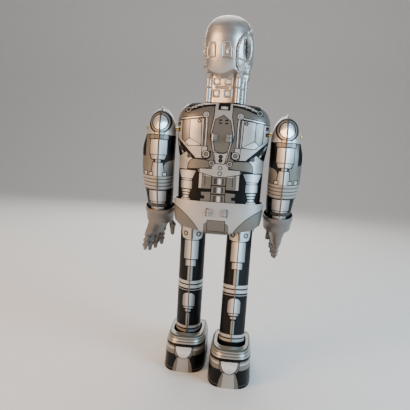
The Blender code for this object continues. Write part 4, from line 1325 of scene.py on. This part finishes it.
def ear_relief(angle, z, reach):
    """A hollow ear with a raised rim, and the jaw rod and jaw line below it."""
    relief = np.zeros(z.shape)
    for side in (-1, 1):
        across = np.radians(angle * side - EAR_ANGLE) * reach
        shape = np.hypot(across / EAR_HALF[0], (z - EAR_Z) / EAR_HALF[1])
        relief -= 3.4 * ease((1.0 - shape) / 0.3)
        relief += 0.9 * ease(1 - np.abs(shape - 1.18) / 0.22)
        relief += 1.9 * bump(np.hypot(across + 0.6, (z - 216.0) * 0.5), 1.1)
        relief -= 0.7 * groove(across, z, [(-9.5, 211.4), (-3.0, 210.4), (4.0, 207.6), (12.0, 204.6)],
                               0.7)
        rod = groove(across, z, [(-1.2, 202.6), (0.9, 209.0)], 1.35)
        relief += 1.2 * np.sqrt(rod)
        relief -= 1.2 * ease(groove(across, z, [(2.2, 201.6), (4.2, 208.4)], 1.1) * 1.6)
        for height in NECK_PINS:
            ring = np.hypot(across, (z - height) * 0.62)
            relief -= 1.1 * ease((2.7 - ring) / 0.5)
            relief += 1.9 * bump(ring, 1.15)
        relief -= 0.9 * groove(across, z, [(-3.4, 184.0), (-3.4, 201.0)], 0.7)
    return relief


def painted_shade_spots(angle, z, reach):
    """Where the ear openings and the sockets of the neck pins lie: the faces that get a painted shade, a dark
    finish that stands for the shadow inside these recesses.
    """
    inside = np.zeros(z.shape, dtype=bool)
    for side in (-1, 1):
        across = np.radians(angle * side - EAR_ANGLE) * reach
        pin = np.hypot(across + 0.6, (z - 216.0) * 0.5) < 1.1
        inside |= (np.hypot(across / EAR_HALF[0], (z - EAR_Z) / EAR_HALF[1]) < 0.9) & ~pin
        for height in NECK_PINS:
            ring = np.hypot(across, (z - height) * 0.62)
            inside |= (ring > 1.15) & (ring < 2.5)
    return inside


def neck_relief(angle, x, z):
    """The back of the neck: a panel with four squares between two jointed pipes."""
    neck = ease((np.minimum(lobe_edge(x), 203.4) - z) / 0.6) * ease((96 - np.abs(angle)) / 8)
    span = np.abs(x)
    pipe = np.sqrt(np.clip(1 - ((span - 10.4) / 2.0) ** 2, 0, 1)) * (np.abs(angle) < 90)
    relief = neck * (3.0 * pipe - 1.9)
    relief += neck * 1.3 * ease((7.6 - span) / 0.5)
    for height in (193.6, 200.2):
        relief -= neck * 0.8 * ease(1 - np.abs(z - height) / 0.5) * (span > 8.2)
    relief -= neck * 1.3 * ease(1 - np.abs(z - 193.6) / 1.0) * ease((5.4 - span) / 1.5)
    for low, high in ((195.4, 199.2), (187.6, 191.6)):
        for side in (-1, 1):
            relief -= neck * 0.8 * framed(x * side, z, 2.0, low, 6.0, high, 0.55)
    knob = np.hypot(span - 10.4, (z - 203.4) * 0.9)
    relief += 2.0 * bump(knob, 2.2) * (np.abs(angle) < 90)
    return relief


def face_relief(angle, x, z):
    """A plain mechanical face: eye rings, brow, nose plate, cheek lines and a slotted mouth."""
    front = ease((np.abs(angle) - 100.0) / 8.0)
    relief = np.zeros(z.shape)
    span = np.abs(x)
    eye = np.hypot(span - 6.4, z - 221.0)
    relief -= 2.2 * ease((4.1 - eye) / 0.5)
    relief += 0.8 * ease(1 - np.abs(eye - 4.9) / 0.8)
    relief += 1.0 * groove(span, z, [(0.0, 225.6), (5.0, 227.4), (11.0, 225.4)], 1.5)
    relief += 1.0 * ease((1.3 + (218 - z) * 0.16 - span) / 0.6) * ease((z - 210.0) / 0.8) * ease(
        (219.0 - z) / 2.0)
    relief -= 0.6 * groove(span, z, [(3.4, 214.8), (7.6, 210.6), (8.4, 204.0)], 0.6)
    relief -= 0.6 * framed(x, z, -6.6, 203.2, 6.6, 208.4, 0.55)
    slots = ease((np.cos(2 * pi * x / 1.9) - 0.1) / 0.5)
    relief -= 0.9 * slots * ease((6.1 - span) / 0.3) * ease((z - 203.8) / 0.4) * ease((207.8 - z) / 0.4)
    relief -= 0.5 * groove(span, z, [(0.0, 232.4), (6.0, 231.2), (11.0, 227.6), (13.4, 222.0)], 0.5)
    relief += 0.7 * bump(np.hypot(span - 11.6, z - 213.0), 1.6)
    bellows = ease((200.0 - z) / 0.8) * ease((z - 185.2) / 0.8)
    relief += 0.5 * bellows * np.cos(2 * pi * z / 2.6)
    return front * relief


def head_form(angles, heights):
    """Points of the head and its relief on a grid of rows (heights) and columns (angles)."""
    grid = []
    for height, row in zip(heights, angles):
        half, front, back = (table_value(HEAD, column, height) for column in (1, 2, 3))
        line = []
        power = HEAD_POWER + 1.2 * max(0.0, min(1.0, (202.0 - height) / 3.0))
        for angle in row:
            across, along = squarish(angle, power)
            deep = back_depth(half * across, height, back) if along > 0 else front
            line.append((half * across, deep * along, min(height, 240.0)))
        grid.append(line)
    return np.array(grid)


def grid_normals(points):
    down = np.gradient(points, axis=0)
    along = np.gradient(points, axis=1)
    normals = np.cross(along, down)
    lengths = np.linalg.norm(normals, axis=2)
    lengths[lengths < 1e-9] = 1.0
    normals = normals / lengths[:, :, None]
    outward = np.einsum("ijk,ijk->ij", normals, points - np.array([0, 0, 214.0])).sum()
    return normals if outward > 0 else -normals


def head_heights(top):
    """Heights of the rows, closer together where the top closes in."""
    low, closing, rise, steps = HEAD[0][0], 236.0, 0.3, 26
    made = [low + rise * i for i in range(int((closing - low) / rise) + 1)]
    last = made[-1]
    made += [last + (top - last) * sin(pi / 2 * (i + 1) / steps) for i in range(steps)]
    return made


def head_half(name, back):
    """One moulding of the head, sculpted outside, plain inside, closed along the seam."""
    top = 240.1 if back else 239.2
    heights = head_heights(top)
    columns = 190
    angles = []
    for height in heights:
        front = table_value(HEAD, 2, height)
        share = min(0.999, (HEAD_SEAM - 0.12 if back else HEAD_SEAM + 0.12) / front)
        turn = pi - acos_squarish(share, HEAD_POWER) if front > HEAD_SEAM else pi
        steps = [2 * i / columns - 1 for i in range(columns + 1)]
        if back:
            angles.append([turn * step for step in steps])
        else:
            angles.append([pi + (pi - turn) * step for step in steps])
    base = head_form(angles, heights)
    normals = grid_normals(base)
    degrees_out = np.degrees(np.array(angles))
    degrees_out = np.where(degrees_out > 180, degrees_out - 360, degrees_out)
    x, z = base[:, :, 0], base[:, :, 2]
    reach = np.hypot(base[:, :, 0], base[:, :, 1])
    upper = ease((z - np.minimum(lobe_edge(x), 204.4)) / 1.0)
    relief = upper * cap_relief(degrees_out, x, z, reach) * (np.abs(degrees_out) < 150)
    relief += ear_relief(degrees_out, z, reach)
    relief += neck_relief(degrees_out, x, z)
    relief += face_relief(degrees_out, x, z)
    relief *= ease((240.0 - z) / 2.0)
    outer = base + normals * relief[:, :, None]
    inner = base + normals * (np.minimum(relief, 0.0) - HEAD_WALL)[:, :, None]
    # The dark mask marks the recess faces that get painted shade
    return shell_from_grids(name, outer, inner, painted_shade_spots(degrees_out, z, reach))


def acos_squarish(share, power):
    """The angle from the nearest Y direction where a superellipse has this share of its depth."""
    across = (1 - share ** power) ** (1 / power)
    return atan2(across, share)


def shell_from_grids(name, outer, inner, dark):
    """A closed wall between two grids of points. Outer faces whose four corners are all dark take the painted
    shade that stands for the shadow in the ear openings and pin sockets.
    """
    rows, columns, _ = outer.shape
    count = rows * columns
    verts = np.vstack([outer.reshape(-1, 3), inner.reshape(-1, 3)])
    turn = np.array([[cos(HEAD_TURN), -sin(HEAD_TURN)], [sin(HEAD_TURN), cos(HEAD_TURN)]])
    verts[:, :2] = verts[:, :2] @ turn.T
    verts[:, 1] += MIDDLE_Y
    faces, shades = [], []
    for i in range(rows - 1):
        for j in range(columns - 1):
            a = i * columns + j
            quad = (a, a + 1, a + columns + 1, a + columns)
            faces.append(quad)
            faces.append(tuple(k + count for k in reversed(quad)))
            shades += [int(dark[i:i + 2, j:j + 2].all()), 0]
    edge = list(range(columns))
    edge += [i * columns + columns - 1 for i in range(1, rows)]
    edge += [(rows - 1) * columns + j for j in range(columns - 2, -1, -1)]
    edge += [i * columns for i in range(rows - 2, 0, -1)]
    for a, b in zip(edge, edge[1:] + edge[:1]):
        faces.append((b, a, a + count, b + count))
        shades.append(0)
    mesh = bpy.data.meshes.new(name)
    mesh.from_pydata([tuple(v * MM) for v in verts], [], faces)
    mesh.materials.append(SILVER)
    # Second slot: painted shade for the recess faces that the dark mask marks
    mesh.materials.append(HOLLOW_SHADE)
    mesh.polygons.foreach_set("material_index", shades)
    mesh.validate()
    bm = bmesh.new()
    bm.from_mesh(mesh)
    bmesh.ops.recalc_face_normals(bm, faces=bm.faces)
    bm.to_mesh(mesh)
    bm.free()
    mesh.shade_smooth()
    mesh.set_sharp_from_angle(angle=radians(62))
    return add_object(name, mesh)


def make_head():
    carry(head_half("head_back_moulding", True), "head", "silver_paint", "head_back")
    carry(head_half("head_face_moulding", False), "head", "silver_paint", "head_face")


# ---------------------------------------------------------------- hands

WRIST_TILT = radians(18.0)
# By side: how far the fingers curl, their length, and the lean of palm and fingers for each mm down
HAND_POSES = {1: (1.0, 1.16, (0.27, -0.18)), -1: (0.3, 1.0, (0.0, 0.0))}
# Size of the grains that palm, fingers and thumb are melted together from
SKIN_GRAIN = 0.31
HAND_TURNS = {"left": radians(42.0), "right": radians(-78.0)}


def hand_matrix(label):
    wrist = joint_point(f"{label}_hand_turn")
    return (Matrix.Translation(wrist) @ Matrix.Rotation(-WRIST_TILT, 4, "X")
            @ Matrix.Rotation(HAND_TURNS[label], 4, "Z"))


def add_bone(bm, start, end, r0, r1, segments=14):
    """A tapered rod with round ends."""
    start, end = Vector(start), Vector(end)
    way = end - start
    length = way.length
    turn = way.to_track_quat("Z", "Y").to_matrix().to_4x4()
    profile = [(r0 * sin(radians(t)), -r0 * cos(radians(t))) for t in (12, 35, 60, 85)]
    profile += [(r1 * sin(radians(t)), length - r1 * cos(radians(t))) for t in (95, 120, 145, 168)]
    add_lathe(bm, profile, Matrix.Translation(start) @ turn, segments)


def add_lathe(bm, profile, matrix, segments=32):
    """A turned form from (radius, height) points, closed at both ends."""
    rings = []
    for radius, height in profile:
        rings.append([bm.verts.new(matrix @ Vector((radius * cos(2 * pi * i / segments),
                                                    radius * sin(2 * pi * i / segments), height)))
                      for i in range(segments)])
    join_rings(bm, rings)
    bm.faces.new(list(reversed(rings[0])))
    bm.faces.new(rings[-1])


def add_tube(bm, profile, segments=64):
    """A turned form from a closed run of (radius, height) points."""
    rings = []
    for radius, height in profile:
        rings.append([bm.verts.new((radius * cos(2 * pi * i / segments),
                                    radius * sin(2 * pi * i / segments), height))
                      for i in range(segments)])
    join_rings(bm, rings + rings[:1])


def add_loft(bm, sections, power=2.4, segments=28):
    """A closed form through level sections: (z, middle x, middle y, half width, half depth)."""
    rings = []
    for z, mid_x, mid_y, half, deep in sections:
        ring = []
        for i in range(segments):
            across, along = squarish(2 * pi * i / segments, power)
            ring.append(bm.verts.new((mid_x + half * across, mid_y + deep * along, z)))
        rings.append(ring)
    join_rings(bm, rings)
    bm.faces.new(rings[0])
    bm.faces.new(list(reversed(rings[-1])))


def hand_body(side):
    """Palm, tendons, jointed fingers and thumb, in the hand's own frame with its palm towards +Y."""
    curl, reach, lean = HAND_POSES[side]
    bm = bmesh.new()
    add_loft(bm, ((-6.6, 0, 0, 8.9, 8.9), (-8.8, 0, 0, 8.7, 7.4), (-11.5, side * 0.2, 0, 8.2, 5.2),
                  (-15.0, side * 0.4, 0, 8.1, 4.0), (-18.6, side * 0.5, 0, 8.3, 3.4),
                  (-20.8, side * 0.5, 0, 7.6, 2.6)))
    for finger in range(4):
        x = side * (3.95 * finger - 5.6)
        spread = side * (finger - 1.5) * 0.6
        length = reach * (8.4, 10.2, 10.6, 9.0)[finger]
        knuckle = Vector((x, 0.3, -19.8))
        first = knuckle + Vector((spread * 0.4, 0.7 * curl, -0.40 * length))
        second = first + Vector((spread * 0.35, 1.2 * curl, -0.32 * length))
        tip = second + Vector((spread * 0.25, 1.5 * curl, -0.26 * length))
        add_bone(bm, knuckle, first, 1.85, 1.65)
        add_bone(bm, first, second, 1.7, 1.55)
        add_bone(bm, second, tip, 1.6, 1.4)
        for joint, radius in ((knuckle, 2.15), (first, 1.95), (second, 1.8)):
            add_bone(bm, joint + Vector((-0.7, 0, 0)), joint + Vector((0.7, 0, 0)), radius, radius)
        root = Vector((x * 0.62, 2.9, -9.2))
        add_bone(bm, root, knuckle + Vector((0, 2.1, 1.4)), 0.8, 1.05)
        root.y = -4.2
        add_bone(bm, root, knuckle + Vector((0, -2.1, 1.2)), 0.6, 0.7)
    for vert in bm.verts:
        drop = max(0.0, -9.0 - vert.co.z)
        vert.co.x += lean[0] * drop
        vert.co.y += lean[1] * drop
    base = Vector((side * -6.6, 1.0, -8.4))
    middle = Vector((side * -8.9, 2.2, -15.2))
    tip = Vector((side * -7.9, 3.8, -21.6))
    add_bone(bm, base, middle, 2.3, 1.7)
    add_bone(bm, middle, tip, 2.3, 1.5)
    add_bone(bm, middle + Vector((0, -0.7, 0)), middle + Vector((0, 0.7, 0)), 2.3, 2.3)
    return bm


def melted(name, bm):
    """The forms run together into one skin."""
    mesh = bpy.data.meshes.new(name)
    bm.to_mesh(mesh)
    bm.free()
    rough = add_object(f"{name}_rough", mesh)
    remesh = rough.modifiers.new("Melt", "REMESH")
    remesh.mode = "VOXEL"
    remesh.voxel_size = SKIN_GRAIN
    ease_out = rough.modifiers.new("Soften", "SMOOTH")
    ease_out.factor = 0.5
    ease_out.iterations = 1
    graph = bpy.context.evaluated_depsgraph_get()
    made = bpy.data.meshes.new_from_object(rough.evaluated_get(graph))
    bpy.data.objects.remove(rough)
    made.name = name
    return made


def make_hands():
    cuff = ((9.1, -8.4), (9.45, -8.7), (9.7, -6.0), (10.0, -2.0), (10.35, -1.7), (10.45, -0.6),
            (10.45, 1.2), (10.3, 1.75), (9.95, 1.8), (9.8, 1.2), (9.1, -6.2))
    for side, label in ((1, "left"), (-1, "right")):
        mesh = melted(f"{label}_hand_skin", hand_body(side))
        bm = bmesh.new()
        bm.from_mesh(mesh)
        add_tube(bm, cuff)
        bmesh.ops.recalc_face_normals(bm, faces=bm.faces)
        bmesh.ops.transform(bm, matrix=Matrix.Scale(MM, 4) @ hand_matrix(label), verts=bm.verts)
        bm.to_mesh(mesh)
        bm.free()
        mesh.materials.clear()
        mesh.materials.append(HAND_GREY)
        mesh.shade_smooth()
        mesh.set_sharp_from_angle(angle=radians(50))
        hand = add_object(f"{label}_hand_moulding", mesh)
        carry(hand, f"{label}_hand", "grey_plastic", f"{label}_hand")


# ---------------------------------------------------------------- rivets and lugs


def finish_metal(name, bm, material, sharp=35):
    bmesh.ops.recalc_face_normals(bm, faces=bm.faces)
    bmesh.ops.scale(bm, vec=(MM, MM, MM), verts=bm.verts)
    mesh = bpy.data.meshes.new(name)
    bm.to_mesh(mesh)
    bm.free()
    mesh.materials.append(material)
    mesh.shade_smooth()
    mesh.set_sharp_from_angle(angle=radians(sharp))
    return add_object(name, mesh)


def make_rivets():
    """Brass shoulder rivets with domed heads, turned along X."""
    for side, label in ((1, "left"), (-1, "right")):
        node = f"{label}_shoulder_rivet"
        low, high = (corner / MM for corner in map(Vector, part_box(node)))
        inner, outer = (low.x, high.x) if side > 0 else (high.x, low.x)
        length = abs(outer - inner)
        centre = joint_point(f"{label}_arm_swing")
        turn = Matrix.Rotation(side * pi / 2, 4, "Y")
        bm = bmesh.new()
        profile = [(2.0, 0.0), (2.2, 0.3), (2.2, 0.7), (1.35, 0.9), (1.35, length - 1.0)]
        profile += [(2.3 * cos(radians(t)), length - 0.85 + 0.85 * sin(radians(t)))
                    for t in (0, 20, 42, 64, 80)]
        add_lathe(bm, profile, Matrix.Translation((inner, centre.y, centre.z)) @ turn, 32)
        carry(finish_metal(f"{node}_turned", bm, BRASS), f"{label}_arm", "brass_fitting", node)


def bent_strip(bm, side, z, wall):
    """A flat strip that comes out through the wall's slot and is folded in towards the middle."""
    half, tall = 0.46, 2.3
    path = [(LUG_X, wall - 2.6), (LUG_X, wall - 0.1)]
    path += [(5.45 + 0.85 * cos(radians(t)), wall - 0.05 + 1.0 * sin(radians(t)))
             for t in range(10, 91, 10)]
    path += [(4.4, wall + 0.97), (2.75, wall + 0.97)]
    rings = []
    for i, (x, y) in enumerate(path):
        before, after = path[max(0, i - 1)], path[min(len(path) - 1, i + 1)]
        way = Vector((after[0] - before[0], after[1] - before[1])).normalized()
        rings.append([bm.verts.new((side * (x + way.y * across), MIDDLE_Y + y - way.x * across, z + up))
                      for across, up in ((half, -tall), (half, tall), (-half, tall), (-half, -tall))])
    join_rings(bm, rings)
    bm.faces.new(rings[0])
    bm.faces.new(list(reversed(rings[-1])))


def make_lugs():
    """The bent ends of the clockwork's side plates, folded over the back of the shell."""
    for name, z, wall in (UPPER_LUG, LOWER_LUG):
        for side, label in ((1, "left"), (-1, "right")):
            bm = bmesh.new()
            bent_strip(bm, side, z, wall)
            bmesh.ops.recalc_face_normals(bm, faces=bm.faces)
            edges = [edge for edge in bm.edges if len(edge.link_faces) == 2
                     and edge.calc_face_angle() > radians(60)]
            bmesh.ops.bevel(bm, geom=edges, offset=0.14, segments=2, affect="EDGES")
            lug = finish_metal(f"{label}_{name}_lug", bm, STEEL, 40)
            carry(lug, "body", "plated_steel")


SLOT_FINISH = {"plated_steel": STEEL, "brass_fitting": BRASS, "spring_steel": SPRING,
               "dark_lens": LENS, "black_roller": RUBBER, "printed_tin": INKS["light"],
               "silver_paint": SILVER, "grey_plastic": HAND_GREY}


def paint_nodes():
    """Give every CAD node the patterned finish of its slot."""
    for entry in frame["record"]["subparts"]:
        node = frame["nodes"][entry["node"]]
        node.data.materials.clear()
        node.data.materials.append(SLOT_FINISH[entry["material_slot"]])


paint_nodes()
make_head()
make_hands()
make_rivets()
make_lugs()
make_torso()
make_arms()
make_legs()
make_feet()


# ---------------------------------------------------------------- stage


def area_light(name, place, target, size, power, colour):
    data = bpy.data.lights.new(name, "AREA")
    data.shape = "DISK"
    data.size = size
    data.energy = power
    data.color = colour
    lamp = bpy.data.objects.new(name, data)
    lamp.location = place
    lamp.rotation_euler = (Vector(target) - Vector(place)).to_track_quat("-Z", "Y").to_euler()
    bpy.context.scene.collection.objects.link(lamp)


def make_stage():
    """A pale card that curves up on the robot's far side, and four soft lights. Metres."""
    near, far, bend, high, half = 1.6, -0.9, 0.6, 2.4, 2.4
    bm = bmesh.new()
    profile = [(near, 0.0), (far, 0.0)]
    profile += [(far - bend * sin(radians(t)), bend - bend * cos(radians(t))) for t in range(6, 91, 6)]
    profile.append((far - bend, high))
    for x in (-half, half):
        for y, z in profile:
            bm.verts.new((x, y, z))
    bm.verts.ensure_lookup_table()
    count = len(profile)
    for i in range(count - 1):
        bm.faces.new((bm.verts[i], bm.verts[i + 1], bm.verts[count + i + 1], bm.verts[count + i]))
    mesh = bpy.data.meshes.new("card")
    bm.to_mesh(mesh)
    bm.free()
    mesh.shade_smooth()
    sweep = add_object("card_sweep", mesh)
    card = Paint("floor_card", (0.80, 0.79, 0.77), 0.0, 0.75)
    mesh.materials.append(card.finish(card.mottle(card.noise(60.0), 0.01), card.noise(40.0), 0.04,
                                      card.noise(500.0), 0.02, 0.0002))
    world = bpy.data.worlds.new("studio")
    world.use_nodes = True
    world.node_tree.nodes["Background"].inputs["Color"].default_value = (0.86, 0.88, 0.90, 1.0)
    world.node_tree.nodes["Background"].inputs["Strength"].default_value = 0.30
    bpy.context.scene.world = world
    middle = (0.0, 0.0, 0.14)
    area_light("warm_key", (0.56, 0.44, 0.34), middle, 0.50, 6.2, (1.0, 0.58, 0.30))
    area_light("cool_side", (-0.60, 0.30, 0.30), middle, 0.45, 6.6, (0.46, 0.75, 1.0))
    area_light("soft_top", (0.05, -0.40, 0.95), middle, 0.9, 3.6, (1.0, 0.98, 0.96))
    area_light("front_fill", (0.1, -0.7, 0.5), middle, 0.6, 3.0, (1.0, 0.97, 0.93))


# Metres, and a lens in millimetres, on the robot's back left as in the photo
CAMERA_DISTANCE = 0.332
CAMERA_HEIGHT = 0.1542
CAMERA_YAW = radians(4.5)
CAMERA_PITCH = radians(6.8)
CAMERA_ROLL = radians(3.9)
CAMERA_SIDE = 0.0092
CAMERA_LENS = 42.6


def make_camera():
    forward = Vector((sin(CAMERA_YAW), -cos(CAMERA_YAW), 0.0))
    right = forward.cross(Vector((0, 0, 1)))
    place = Vector((0, MIDDLE_Y * MM, 0)) - forward * CAMERA_DISTANCE - right * CAMERA_SIDE
    place.z = CAMERA_HEIGHT
    gaze = forward * cos(CAMERA_PITCH) - Vector((0, 0, sin(CAMERA_PITCH)))
    data = bpy.data.cameras.new("camera")
    data.lens = CAMERA_LENS
    data.sensor_width = 36.0
    data.clip_start = 0.01
    camera = bpy.data.objects.new("camera", data)
    turn = gaze.to_track_quat("-Z", "Y").to_matrix().to_4x4()
    roll = Matrix.Rotation(CAMERA_ROLL, 4, "Z")
    camera.matrix_world = Matrix.Translation(place) @ turn @ roll
    bpy.context.scene.collection.objects.link(camera)
    bpy.context.scene.camera = camera


make_stage()
make_camera()
